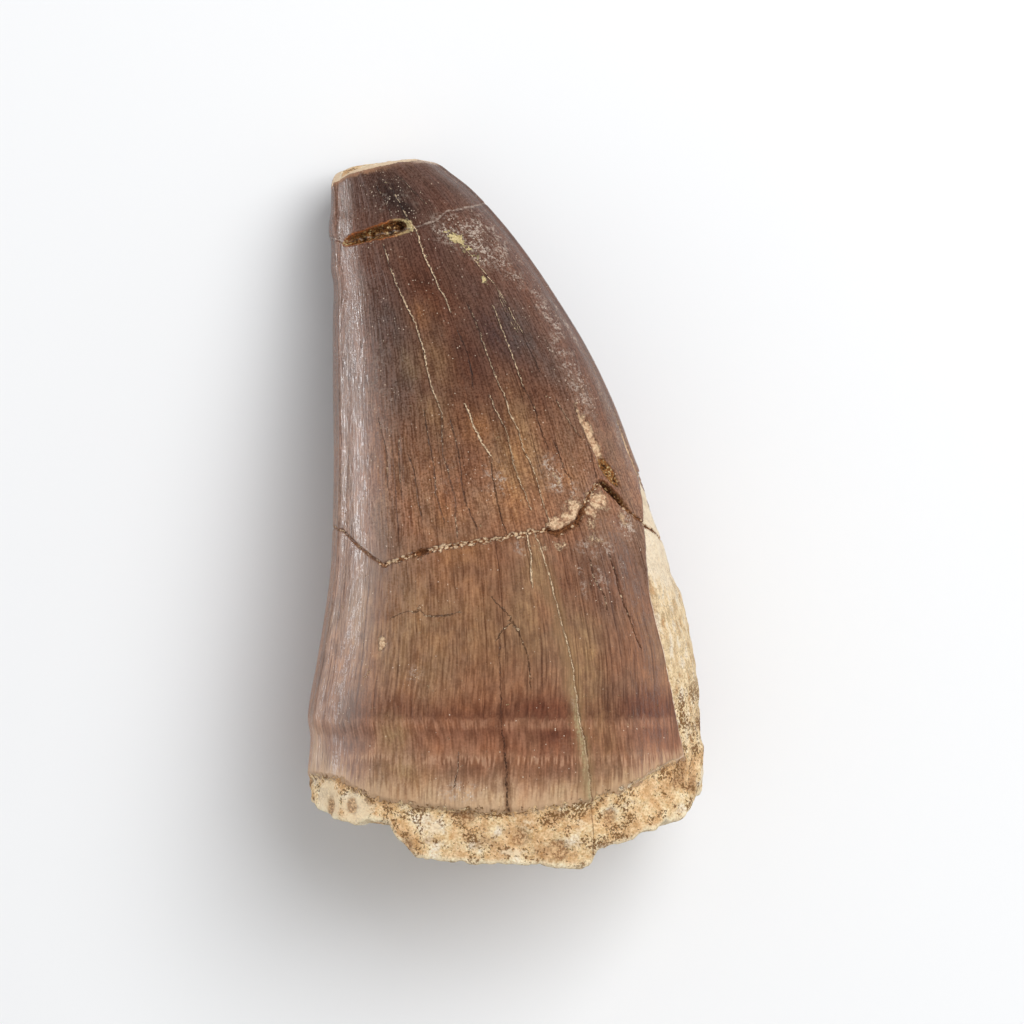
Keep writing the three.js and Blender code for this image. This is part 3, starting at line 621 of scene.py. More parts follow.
def relief(angle, y, place, marks):
    """How far the real surface stands out from the plain crown, in millimetres."""
    x, z, _, _, arc = place
    edge_width = between(EDGE_WIDTH, smoothstep(marks["below"], -1.5, -0.3))
    enamel = smoothstep(marks["enamel"] / edge_width, -1, 1)
    bare = 1 - enamel
    height = -ENAMEL_STEP * bare + SWELLING * unevenness(x, y, z, 9)
    for carina in CARINAE:
        beside = (angle - straight(carina["angle"], y)) / carina["width"]
        height += enamel * carina["height"] * np.exp(-beside ** 2)
    height += enamel * (prisms(UPPER_PRISMS, angle) + prisms(UNDER_PRISMS, angle))
    rolling = between(ROLLING, smoothstep(angle, 128, 112))
    height += enamel * rolling * unevenness(angle / 9, y * 0.09, 3, 1)

    # The breaks across the crown: open or filled, and shallower on the left.
    opening = 1 - smoothstep(marks["break_fill"], 0, 0.25)
    main = np.abs(marks["main_break"])
    depth = between(BREAK_DEPTH, opening) * (1 - 0.45 * smoothstep(angle, 128, 136))
    height -= depth * np.exp(-(main / between(BREAK_WIDTH, opening)) ** 2)
    height -= BREAK_SAG * np.exp(-main / 0.5)
    height -= TIP_BREAK_DEPTH * np.exp(-(marks["tip_break"] / TIP_BREAK_WIDTH) ** 2)

    # The slot, the pits and the chips, which are grainy inside.
    grains = unevenness(x, y, z, 0.5)
    height -= SLOT_PIT["depth"] * marks["slot"] * (1 + 0.25 * grains)
    for pit in SIDE_PITS:
        height -= pit["depth"] * hollow(pit, angle, y + 0.3 * marks["rough"], arc)
    height -= PIT_GRAINS * marks["pit"] * grains
    height -= CHIP_BAND["depth"] * marks["chip"]
    height -= CHALK_DEPTH * np.clip(marks["chalk"], 0, 1) * (1 + grains)

    # The long crack, whose right side stands a little higher, and the fine cracks.
    piece_edge = np.where(y < around(MAIN_BREAK, angle), -marks["long_crack"], -1)
    height += np.where(piece_edge > 0, LONG_CRACK_STEP * np.exp(-np.abs(piece_edge) / 4), 0)
    lower = smoothstep(y, -1, -2) * np.where(y < 0, 1, 0)
    height -= LONG_CRACK_DEPTH * lower * np.exp(-(marks["long_crack"] / LONG_CRACK_WIDTH) ** 2)
    groove_width = 1.6 * marks["crack_width"] + 0.02
    height -= FINE_CRACK_DEPTH * np.exp(-(marks["crack_distance"] / groove_width) ** 2)

    height += bare * (lumps(BARE_LUMPS, x, y, z) - ROOT_PIT_DEPTH * marks["root_pit"])
    return height


# ---- The skin ----

ANGLES = np.concatenate([np.linspace(0, 180, TOP_COLUMNS, endpoint=False),
                         np.linspace(180, 360, UNDER_COLUMNS, endpoint=False)])


def uneven_rim(line, amount):
    """A line round the tooth with small breaks in it that the solid leaves out."""
    fine = 0.6 * unevenness(ANGLES / 3.1, 0, 5, 1) + 0.4 * unevenness(ANGLES / 1.2, 0, 9, 1)
    return around(line, ANGLES) + amount * fine


LINES = {
    "tip rim": uneven_rim(TIP_RIM, 0.05),
    "tip break": around(TIP_BREAK, ANGLES),
    "main break": around(MAIN_BREAK, ANGLES),
    "enamel edge": around(ENAMEL_EDGE, ANGLES),
    "base rim": uneven_rim(BASE_RIM, 0.2),
}


def rows_between(upper, lower, count):
    return [upper + share * (lower - upper) for share in (np.arange(count) + 1) / (count + 1)]


def side_rows():
    """Heights of every row of the side, with the amount it is drawn in at the two bevels."""
    tip, base = LINES["tip rim"], LINES["base rim"]
    full = [tip - TIP_BEVEL]
    for line, reach, crowded, before in CROWDED_LINES:
        full += rows_between(full[-1], LINES[line] + reach, before)
        full += [LINES[line] + offset for offset in np.linspace(reach, -reach, crowded)]
    full += rows_between(full[-1], base + BASE_BEVEL, LAST_ROWS)
    rows = [(tip - TIP_BEVEL * down, TIP_BEVEL * inward) for down, inward in TIP_ROUNDING]
    rows += [(heights, 0) for heights in full[1:]]
    rows += [(base + BASE_BEVEL * up, BASE_BEVEL * inward) for up, inward in BASE_ROUNDING]
    return rows


def make_side():
    """Points of the side as (rows, columns, 3) and the marks at each."""
    rows = side_rows()
    y = np.array([heights for heights, _ in rows])
    inset = np.array([[inward] for _, inward in rows])
    angle = np.broadcast_to(ANGLES, y.shape).copy()
    place = plain_point(angle, y)
    marks = describe(angle, y, place)
    height = relief(angle, y, place, marks) - inset
    x, z, out_x, out_z, _ = place
    points = np.stack([x + out_x * height, y, np.maximum(z + out_z * height, 0)], axis=-1)
    marks.update(grain=growth_grain(angle, y), pulp=np.zeros_like(y))
    return points, marks


def growth_grain(angle, y):
    """Coordinates that follow the growth lines: round the tooth and along it."""
    turn = np.radians(angle + 2.2 * unevenness(angle / 40, y / 14, 2, 1))
    return np.stack([14 * np.cos(turn), 14 * np.sin(turn), y], axis=-1)


def make_end(rim, rings, face_height, middle):
    """Rings that close an end, from the rim inwards, and the marks of each."""
    share = np.array(rings)[:, None]
    x = rim[:, 0] + share * (middle[0] - rim[:, 0])
    z = rim[:, 2] + share * (middle[2] - rim[:, 2])
    y = face_height(x, z, rim[:, 1], share)
    points = np.stack([x, y, np.maximum(z, 0)], axis=-1)
    blank = np.zeros_like(y)
    marks = {name: blank for names in GROUPED_MARKS.values() for name in names}
    for name in ("main_break", "tip_break", "long_crack", "dark_crack"):
        marks[name] = blank + FAR
    marks.update(inside=blank - 1, break_fill=blank, crack_cosine=blank - 1, below=blank + 3,
                 rim=blank + 8 * share, pulp=blank, grain=points.copy())
    if face_height is base_face:
        marks["pulp"] = smoothstep(share + 0.06 * lumps(RAGGED, x, y, z), 0.42, 0.6)
    return points, marks


def tip_face(x, z, rim_y, share):
    domed = rim_y + share * (TIP_CROWN - rim_y) + 0.25 * share * (1 - share)
    return domed + 0.05 * unevenness(x, z, 1.5, 0.9) + 0.02 * unevenness(x, z, 4.5, 0.4)


def base_face(x, z, rim_y, share):
    settled = smoothstep(share, 0, 0.35)
    lumpy = sum(height * unevenness(x, z, seed, across) for height, across, seed in FACE_LUMPS)
    hollowed = PULP_DEPTH * smoothstep(share, 1 - PULP_RADIUS, 1)
    return rim_y + settled * (BASE_FACE - rim_y) + hollowed + smoothstep(share, 0, 0.12) * lumpy


def end_middle(face_height, rim_height):
    x, z = (np.array([[float(place)]]) for place in section(np.array(rim_height))[:2])
    y = face_height(x, z, rim_height, np.array([[1]]))
    return np.array([x[0, 0], y[0, 0], z[0, 0]])


def join_marks(blocks):
    """One array for each mark that the material reads, in the order of the vertices."""
    joined = {}
    for name in blocks[0]:
        parts = [block[name].reshape(block["inside"].size, -1) for block in blocks]
        joined[name] = np.concatenate([parts[0][:1], *parts, parts[-1][-1:]])
    return joined


def skin_faces(rows):
    """Quads between the rows, and a fan of triangles at each pole."""
    columns = len(ANGLES)
    here = 1 + np.arange(rows * columns).reshape(rows, columns)
    ahead = np.roll(here, -1, axis=1)
    quads = np.stack([here[:-1], ahead[:-1], ahead[1:], here[1:]], axis=-1).reshape(-1, 4)
    poles = np.zeros(columns, int), np.full(columns, 1 + rows * columns)
    tip = np.stack([poles[0], ahead[0], here[0]], axis=-1)
    base = np.stack([poles[1], here[-1], ahead[-1]], axis=-1)
    return quads.tolist() + tip.tolist() + base.tolist()


def in_scene(name, data):
    """A new object of the scene."""
    made = bpy.data.objects.new(name, data)
    bpy.context.scene.collection.objects.link(made)
    return made


def build_skin():
    side, side_marks = make_side()
    tip_middle, base_middle = end_middle(tip_face, TIP_CROWN), end_middle(base_face, BASE_FACE)
    tip, tip_marks = make_end(side[0], TIP_RINGS, tip_face, tip_middle)
    base, base_marks = make_end(side[-1], BASE_RINGS, base_face, base_middle)
    grid = np.concatenate([tip, side, base])
    points = np.concatenate([tip_middle[None], grid.reshape(-1, 3), base_middle[None]])
    faces = skin_faces(len(grid))

    mesh = bpy.data.meshes.new("fossil_tooth")
    placed = (points - np.array([*BOX_MIDDLE, 0])) * MM
    mesh.from_pydata(placed.tolist(), [], faces)
    mesh.polygons.foreach_set("use_smooth", np.ones(len(faces), bool))
    store_marks(mesh, join_marks([tip_marks, side_marks, base_marks]))
    store_unwrap(mesh, len(tip), len(side), len(base))
    mesh.update()
    return in_scene("fossil_tooth", mesh)


def store_marks(mesh, marks):
    """Writes the marks as vertex attributes for the material."""
    def store(name, kind, field, values):
        attribute = mesh.attributes.new(name, kind, "POINT")
        attribute.data.foreach_set(field, np.ascontiguousarray(values, np.float32).ravel())

    for name in SINGLE_MARKS:
        store(name, "FLOAT", "value", marks[name])
    for group, names in GROUPED_MARKS.items():
        store(group, "FLOAT_COLOR", "color", np.hstack([marks[name] for name in names]))
    store("grain", "FLOAT_VECTOR", "vector", marks["grain"])


TIP_DISC = (0.75, 0.86)  # the middles of the two discs in the unwrap
BASE_DISC = (0.25, 0.86)


def store_unwrap(mesh, tip_rows, side_row_count, base_rows):
    """The unwrap in the map named OFBake: the side as a band, the two ends as discs."""
    turn = np.append(ANGLES, 360)
    circle = np.stack([np.cos(np.radians(turn)), np.sin(np.radians(turn))], axis=-1)

    def disc(middle, *reaches):
        return np.array(middle) + np.multiply.outer(reaches, circle)

    def fan(middle, first, second):
        ring = disc(middle, 0.002)[0]
        pole = np.broadcast_to(middle, ring[1:].shape)
        return np.stack([pole, ring[first], ring[second]], axis=1)

    down = np.arange(side_row_count) / (side_row_count - 1)
    band = np.stack(np.meshgrid(0.01 + 0.98 * turn / 360, 0.01 + 0.68 * down), axis=-1)
    # The faces between an end and the side take the end's disc on all four corners.
    strips = [
        disc(TIP_DISC, *(0.06 * np.arange(tip_rows) / tip_rows)),
        disc(TIP_DISC, 0.055, 0.062),
        band,
        disc(BASE_DISC, 0.13, 0.122),
        disc(BASE_DISC, *(0.125 * np.arange(base_rows, 0, -1) / (base_rows + 1))),
    ]
    corners = [np.stack([strip[:-1, :-1], strip[:-1, 1:], strip[1:, 1:], strip[1:, :-1]], axis=2)
               for strip in strips]
    corners += [fan(TIP_DISC, slice(1, None), slice(-1)), fan(BASE_DISC, slice(-1), slice(1, None))]
    uv = np.concatenate([block.reshape(-1, 2) for block in corners])
    layer = mesh.uv_layers.new(name="OFBake")
    layer.data.foreach_set("uv", uv.astype(np.float32).ravel())


# ---- Material ----

MATERIAL = bpy.data.materials.new("fossil_tooth")
MATERIAL.use_nodes = True
TREE = MATERIAL.node_tree
TREE.nodes.clear()


def node(kind, inputs=(), **settings):
    """A new node of the material, with its settings, and its inputs set or linked."""
    made = TREE.nodes.new("ShaderNode" + kind)
    for name, value in settings.items():
        setattr(made, name, value)
    for name, value in dict(inputs).items():
        if isinstance(value, bpy.types.NodeSocket):
            TREE.links.new(value, made.inputs[name])
        else:
            made.inputs[name].default_value = value
    return made


def maths(operation, *values, clamp=False):
    return node("Math", enumerate(values), operation=operation, use_clamp=clamp).outputs[0]


plus, minus, times, over, size_of, largest = (partial(maths, operation) for operation in (
    "ADD", "SUBTRACT", "MULTIPLY", "DIVIDE", "ABSOLUTE", "MAXIMUM"))


def where(*masks):
    """The product of several masks, held between 0 and 1."""
    return reduce(partial(times, clamp=True), masks)


def either(*masks):
    """The largest of several masks."""
    return reduce(largest, masks)


def band(value, low, high, to_low=0, to_high=1):
    """A smooth step from `to_low` at `low` to `to_high` at `high`."""
    limits = {"Value": value, "From Min": low, "From Max": high, "To Min": to_low,
              "To Max": to_high}
    return node("MapRange", limits, interpolation_type="SMOOTHSTEP").outputs["Result"]


def mix(share, a, b, blend="MIX"):
    return node("Mix", {0: share, 6: a, 7: b}, data_type="RGBA", blend_type=blend).outputs[2]


def paint(colour, tint, *masks):
    """A colour covered by another one within the masks."""
    return mix(where(*masks), colour, tint)


def darken(colour, tint, *masks):
    """A colour multiplied by a tint within the masks."""
    return paint(colour, mix(1, colour, tint, "MULTIPLY"), *masks)


def stretch(vector, scale, shift=(0, 0, 0)):
    return node("Mapping", {"Vector": vector, "Scale": scale, "Location": shift}).outputs["Vector"]


def split(colour):
    return node("SeparateColor", {"Color": colour}).outputs[:3]


def noise(vector, scale, detail, roughness):
    made = node("TexNoise", {"Vector": vector, "Scale": scale, "Detail": detail,
                             "Roughness": roughness})
    return made.outputs["Fac"]


def grain_noise(grain, across, along, detail, roughness, shift=(0, 0, 0)):
    """A noise with `across` lumps a millimetre round the tooth and `along` lumps down it."""
    return noise(stretch(grain, (across, across, along), shift), 1, detail, roughness)


def shaken(vector, scale, amount):
    """Places pushed about by up to `amount` millimetres by a noise of their own."""
    cloud = node("TexNoise", {"Vector": vector, "Scale": scale}).outputs["Color"]
    push = {0: cloud, 1: (amount, amount, 0), 2: vector}
    return node("VectorMath", push, operation="MULTIPLY_ADD").outputs[0]


def spots(vector, scale, radius, crowd):
    """Round spots of `radius` millimetres in a share `crowd` of the cells."""
    cells = node("TexVoronoi", {"Vector": vector, "Scale": scale}).outputs
    inner = band(cells["Distance"], radius * scale, radius * scale * 0.5)
    return times(inner, maths("LESS_THAN", split(cells["Color"])[0], crowd))


def uneven(value, *pushes):
    """A value that noises push up and down, each by about a quarter of the amount after it."""
    for pushing, amount in zip(pushes[::2], pushes[1::2]):
        value = plus(value, times(minus(pushing, 0.5), amount))
    return value


def away(value, *pushes):
    """How far an uneven value is from 0."""
    return size_of(uneven(value, *pushes))


def ramp(value, *stops):
    made = node("ValToRGB", {"Fac": value})
    elements = made.color_ramp.elements
    while len(elements) < len(stops):
        elements.new(0.5)
    for element, (place, colour) in zip(elements, stops):
        element.position = place
        element.color = colour
    return made.outputs["Color"]


def shade(colour, value, dark, light, reach=0.16):
    """Multiplies a colour: by `dark` where a noise is low and by `light` where it is high."""
    tones = ramp(value, (0.5 - reach, (*dark, 1)), (0.5, (1, 1, 1, 1)), (0.5 + reach, (*light, 1)))
    return mix(1, colour, tones, "MULTIPLY")


# Noises that the material shares. In the grain: lumps a millimetre round the tooth and along it,
# detail and roughness. In plain space: lumps a millimetre, detail and roughness.
GRAIN_NOISES = {
    "mottled": (0.7, 0.45, 4, 0.62), "blotchy": (1.5, 1.1, 4, 0.65), "striped": (4.4, 0.16, 2, 0.6),
    "combed": (6, 0.7, 0, 0.5), "fibred": (3.2, 0.8, 1, 0.5), "ridged": (2.3, 0.04, 2, 0.5),
}
PLAIN_NOISES = {
    "cloudy": (0.22, 3, 0.55), "crumbly": (2.2, 5, 0.72), "grainy": (4.5, 3, 0.65),
    "dusty": (5.4, 1, 0.5),
}


class Marks:
    """The marks that the skin carries, and the noises and zones that the material shares."""

    def __init__(self):
        position = node("TexCoord").outputs["Object"]
        self.place = stretch(position, (1 / MM, 1 / MM, 1 / MM))
        grain = node("Attribute", attribute_name="grain").outputs["Vector"]
        self.grain = shaken(grain, 0.35, 0.2)
        x, y, self.height = node("SeparateXYZ", {0: self.grain}).outputs
        self.turn = maths("DEGREES", maths("ARCTAN2", y, x))
        for name in SINGLE_MARKS:
            setattr(self, name, node("Attribute", attribute_name=name).outputs["Fac"])
        for group, names in GROUPED_MARKS.items():
            carrier = node("Attribute", attribute_name=group).outputs
            for name, channel in zip(names, (*split(carrier["Color"]), carrier["Alpha"])):
                setattr(self, name, channel)
        for name, kind in GRAIN_NOISES.items():
            setattr(self, name, grain_noise(self.grain, *kind))
        for name, kind in PLAIN_NOISES.items():
            setattr(self, name, noise(self.place, *kind))
        self.upper = band(self.height, -5, 2, 0.35, 1)
        self.on_flank = where(band(self.turn, 126, 139), band(self.turn, 175, 164))
        self.lower_right = where(band(self.height, -2, -4), band(self.turn, 76, 66))


def growth_lines(m, spacing, half_width, run, seed):
    """Fine lines down the tooth, about `spacing` degrees apart, in runs of about `run` mm."""
    cells = node("TexVoronoi", {"W": plus(m.turn, seed), "Scale": 1 / spacing},
                 voronoi_dimensions="1D", feature="DISTANCE_TO_EDGE")
    reach = half_width / spacing
    line = band(cells.outputs["Distance"], reach, reach * 0.3)
    runs = grain_noise(m.grain, 2.4 / spacing, 1.3 / run, 2, 0.6, (0, seed, 0))
    return where(line, band(runs, 0.46, 0.56))


# Growth lines: spacing and half width in degrees, length of a run in millimetres, seed, weight.
GROWTH_LINES = [(1.7, 0.18, 1.6, 3, 0.6), (3, 0.22, 5, 17, 0.85), (5.5, 0.3, 12, 29, 1)]


def draw_growth(m, colour):
    """Growth ridges and lines: strong at the lower right, on the left flank and in patches."""
    patchy = grain_noise(m.grain, 0.28, 0.16, 3, 0.6, (5, 1, 0))
    strong = either(m.lower_right, m.on_flank, band(patchy, 0.46, 0.62, 0.35, 0.9))
    ridges = shade(colour, m.ridged, (0.78, 0.74, 0.71), (1.04, 1.04, 1.02), 0.12)
    colour = paint(colour, ridges, m.lower_right)
    colour = shade(colour, m.striped, (0.94, 0.92, 0.91), (1.05, 1.05, 1.05))
    colour = shade(colour, m.combed, (0.78, 0.73, 0.69), (1.17, 1.21, 1.25), 0.16)
    streaks = shade(colour, m.fibred, (0.74, 0.69, 0.65), (1.14, 1.17, 1.2), 0.2)
    colour = paint(colour, streaks, m.on_flank)
    fading = where(band(m.height, 18, 4, 0.2, 1), band(m.height, -19.5, -16, 0.35, 1))
    for *kind, weight in GROWTH_LINES:
        lines = where(growth_lines(m, *kind), fading)
        colour = darken(colour, LINE_TINT, lines, band(strong, 0.1, 0.8, 0.5, 1), weight)
    # Painted glints: broken fine lines lightened beyond the enamel's colour.
    painted_glints = where(growth_lines(m, 2.6, 0.18, 0.8, 41), 0.5)
    return paint(colour, mix(1, colour, PAINTED_GLINT_TINT, "MULTIPLY"), painted_glints)


COMB_LEVELS = [(-18.15, 0.1), (-21.4, 0.28)]  # height of each row of pale teeth, weight


def enamel_colour(m):
    """Brown enamel: colour by height, stains, painted sheen and glints, growth lines, dust and
    specks.

    Also gives a mask of the dust and the pale specks, which are partly painted glints.
    """
    low, high = ENAMEL_BY_HEIGHT[0][0], ENAMEL_BY_HEIGHT[-1][0]
    combed = uneven(m.height, m.cloudy, 0.8, m.striped, 0.8, m.combed, 1)
    along = node("MapRange", {"Value": combed, "From Min": low, "From Max": high})
    colour = ramp(along.outputs["Result"], *(((height - low) / (high - low), tint)
                                             for height, tint in ENAMEL_BY_HEIGHT))
    # The left flank, half covered by its tint: partly painted sheen, paler low down as painted
    # light.
    flank_tint_and_sheen = mix(band(m.height, -1, -13), FLANK_TINT_AND_SHEEN, FLANK_LOW_TINT_AND_LIGHT)
    colour = paint(colour, flank_tint_and_sheen, m.on_flank, 0.5)
    drift = grain_noise(m.grain, 0.33, 0.2, 3, 0.6, (9, 4, 2))
    colour = shade(colour, drift, (1.05, 0.96, 0.9), (0.95, 1.02, 1.04), 0.14)
    colour = shade(colour, m.mottled, (0.84, 0.82, 0.82), (1.14, 1.15, 1.11))
    broken = band(uneven(m.mottled, m.grainy, 0.4), 0.34, 0.6, 0.5, 1.1)
    off_comb = either(band(combed, -17.95, -17.7), band(m.height, -18.4, -19.2))
    m.red = where(m.red, band(off_comb, 0, 1, 0.35, 1))
    # The stains, and the bluish-grey painted sheen.
    for name, tint in STAINS_AND_SHEEN.items():
        colour = paint(colour, tint, getattr(m, name), broken)
    colour = shade(colour, m.blotchy, (0.9, 0.88, 0.87), (1.1, 1.1, 1.07))
    colour = draw_growth(m, colour)
    speckled = shade(colour, m.crumbly, (0.88, 0.84, 0.81), (1.09, 1.12, 1.15), 0.18)
    speckled = shade(speckled, m.dusty, (0.66, 0.58, 0.52), (1.36, 1.43, 1.5), 0.22)
    colour = paint(colour, speckled, m.upper)
    for level, weight in COMB_LEVELS:
        from_level = away(minus(m.height, level), m.combed, 1.6)
        teeth = where(band(from_level, 0.5, 0.25), band(m.combed, 0.48, 0.58), weight)
        colour = paint(colour, COMB, teeth, band(m.mottled, 0.38, 0.56))
    corner = where(m.lobe, band(m.below, 4.6, -0.6), band(m.striped, 0.3, 0.6, 0.3, 0.8))
    colour = paint(colour, CORNER, corner)

    # Dust in the scuffs, soot, and specks of both, partly painted glints; more high up and on the
    # flank.
    flecks = noise(m.place, 3.4, 5, 0.8)
    flakes = band(noise(m.place, 1, 3, 0.65), 0.45, 0.58, 0.12, 1)
    dust = where(band(m.scuff, 0.1, 0.8), band(flecks, 0.49, 0.54), flakes)
    colour = paint(colour, SCUFF, dust, 0.85)
    colour = paint(colour, SOOT, m.soot, band(broken, 0.5, 1.1, 0.6, 1))
    crowd = band(m.height, 0, 14, 0.01, 0.03)
    for mask, weight in ((m.on_flank, 0.03), (m.scuff, 0.24), (m.soot, 0.2)):
        crowd = plus(crowd, times(mask, weight))
    crowd = times(crowd, band(m.mottled, 0.36, 0.62, 0.3, 1.7))
    specks_and_glints = spots(shaken(m.place, 5, 0.12), 5, 0.06, crowd)
    holes = spots(stretch(m.place, (1, 0.5, 1), (7, 3, 0)), 4.5, 0.06, times(crowd, 1.8))
    colour = darken(colour, LINE_TINT, holes, 0.8)
    colour = paint(colour, PALE_SPECK_AND_GLINT, specks_and_glints, band(m.crumbly, 0.35, 0.6, 0.4, 1))
    return colour, either(dust, specks_and_glints)


def dentine_colour(m):
    """Crumbly dentine: sandy blotches and brown crumbs, smoother on the lobes and the bare band.

    Also gives a mask of its crevices and pits.
    """
    patches = noise(m.place, 0.42, 4, 0.6)
    colour = ramp(patches, (0.36, DENTINE_OCHRE), (0.45, DENTINE), (0.55, DENTINE_YELLOW),
                  (0.64, DENTINE_PALE))
    cloudy = noise(m.place, 1.3, 4, 0.65)
    colour = shade(colour, cloudy, (0.9, 0.8, 0.68), (1.08, 1.1, 1.14), 0.15)
    on_band = band(m.below, 0.4, -1)
    lobes = band(uneven(m.lobe, m.crumbly, 1.1), 0.3, 0.6)
    colour = paint(colour, LOBE, lobes, 0.85)
    # A pale band painted along the base's broken rim: a painted highlight on that edge.
    rim = band(uneven(m.rim, m.crumbly, 1.4), 0.7, 0.2)
    colour = paint(colour, DENTINE_RIM_HIGHLIGHT, rim, 0.7)
    banded = grain_noise(m.grain, 1.2, 0.5, 5, 0.7)
    bare = ramp(banded, (0.36, DENTINE_OCHRE), (0.43, DENTINE_GREY), (0.5, DENTINE_YELLOW),
                (0.6, DENTINE_PALE))
    smooth_band = where(on_band, band(uneven(m.height, m.crumbly, 5, patches, 9), -8.4, -4.4))
    bare = paint(bare, DENTINE_PALE, smooth_band, 0.8)
    colour = paint(colour, bare, on_band, band(m.height, -21, -16, 0.25, 0.95))
    stained = band(uneven(m.brown, m.crumbly, 1.8, m.grainy, 0.8), 0.25, 0.8)
    colour = paint(colour, DENTINE_STAIN, stained, 0.6)
    calm = either(lobes, where(on_band, band(m.height, -18, -13, 0, 0.7)),
                  where(smooth_band, 0.9), where(rim, 0.4))
    sandy = noise(m.place, 4.4, 3, 0.7)
    gritty = shade(colour, sandy, (0.84, 0.74, 0.62), (1.07, 1.09, 1.13), 0.16)
    gritty = shade(gritty, m.dusty, (0.8, 0.72, 0.62), (1.12, 1.14, 1.18), 0.2)
    colour = paint(colour, gritty, band(calm, 0, 1, 0.95, 0.35))

    crowded = times(band(noise(m.place, 0.7, 3, 0.6), 0.47, 0.6), 0.15)
    crowded = plus(crowded, band(m.below, 1, 0.1, 0, 0.06))
    crowded = plus(crowded, times(stained, 0.08))
    crumbs = noise(m.place, 4.8, 2, 0.7)
    crevices = where(band(minus(crumbs, crowded), 0.355, 0.325), band(calm, 0, 1, 0.95, 0.15))
    colour = paint(colour, mix(band(m.grainy, 0.4, 0.6), DENTINE_BROWN, PIT_OLIVE), crevices)
    pits = band(uneven(m.root_pit, m.crumbly, 1.5), 0.3, 0.6)
    pit_floor = ramp(sandy, (0.4, DENTINE_BROWN), (0.5, DENTINE_STAIN), (0.6, DENTINE))
    colour = paint(colour, pit_floor, pits, 0.8)
    colour = paint(colour, PULP_SAND, m.pulp, 0.8)
    return paint(colour, CAP, band(m.height, 27, 28), 0.7), either(crevices, pits)


def draw_long_lines(m, colour):
    """The long crack with its pale filling and the olive zone round it, and the dark crack."""
    inside = band(m.below, 0.4, -0.4)
    zone = where(band(uneven(m.long_crack, m.mottled, 2), 1.5, 0.2), band(m.long_crack, -0.9, -0.2),
                 band(m.height, -3, -7), inside)
    colour = paint(colour, STAINS_AND_SHEEN["olive"], zone, 0.35)
    middle = away(minus(m.long_crack, 0.2), m.crumbly, 0.9)
    filled = where(band(middle, 0.5, 0.02), band(m.height, -12.5, -19.5), inside,
                   band(uneven(m.striped, m.grainy, 0.8), 0.38, 0.58, 0.3, 0.9), 0.75)
    colour = paint(colour, OLIVE_PALE, filled)
    lower = band(m.height, -1.2, -1.8)
    side = away(plus(m.long_crack, 0.1), m.crumbly, 0.4)
    shadow = where(band(side, 0.1, 0.03), lower, band(m.height, -9, -16, 0.4, 0.8),
                   band(m.grainy, 0.4, 0.54, 0.15, 1))
    colour = darken(colour, CRACK_TINT, shadow)
    core = away(m.long_crack, m.crumbly, 0.3)
    dotted = band(noise(m.place, 3.2, 2, 0.6), 0.4, 0.56, 0.1, 1)
    pale = where(band(core, 0.085, 0.025), lower, dotted, band(m.height, -22, -16, 0.3, 1))
    colour = paint(colour, CRACK_LIGHT, pale)
    dark_core = away(m.dark_crack, m.crumbly, 0.5)
    within = where(band(m.height, -10.4, -12), band(m.below, 0.5, -0.2))
    soft = band(m.height, -16, -18.5, 0.08, 0.34)
    colour = darken(colour, LINE_TINT, band(over(dark_core, soft), 1.2, 0.5), within, 0.8)
    width = band(m.height, -18, -22, 0.03, 0.1)
    dark = where(band(over(dark_core, width), 1.2, 0.4), within, band(m.grainy, 0.42, 0.56, 0.1, 1),
                 band(m.height, -14, -20, 0.3, 1))
    return paint(colour, CRACK_DARK, dark, 0.75), either(pale, dark)


def draw_cracks(m, colour):
    """The fine cracks, pale or dark along their length and broken into short runs."""
    distance = times(maths("ARCTAN2", m.crack_sine, m.crack_cosine), CRACK_REACH / math.pi)
    real = band(m.crack_width, 0.01, 0.03)
    wandering = uneven(distance, m.crumbly, 0.4, m.grainy, 0.2)
    width = times(m.crack_width, band(m.grainy, 0.36, 0.6, 0.5, 1.4))
    within = where(band(over(size_of(wandering), width), 1.2, 0.4), real)
    beside = size_of(minus(wandering, 0.1))
    beads = band(noise(m.place, 2.6, 2, 0.6), 0.42, 0.56)
    shadow = where(band(beside, 0.12, 0.04), real, band(m.crack_tone, -0.1, 0.2), 0.7)
    colour = darken(colour, LINE_TINT, shadow)
    patchy = uneven(times(m.crack_tone, 0.5), noise(m.place, 2, 2, 0.6), 1.9)
    depth = size_of(m.crack_tone)
    dark = where(within, band(patchy, 0.14, 0), plus(0.2, depth), 0.85)
    colour = darken(colour, CRACK_TINT, dark)
    pale = where(within, band(patchy, 0, 0.14), band(beads, 0, 1, 0.45, 1),
                 plus(0.6, times(depth, 0.6)))
    return paint(colour, CRACK_LIGHT, pale), within


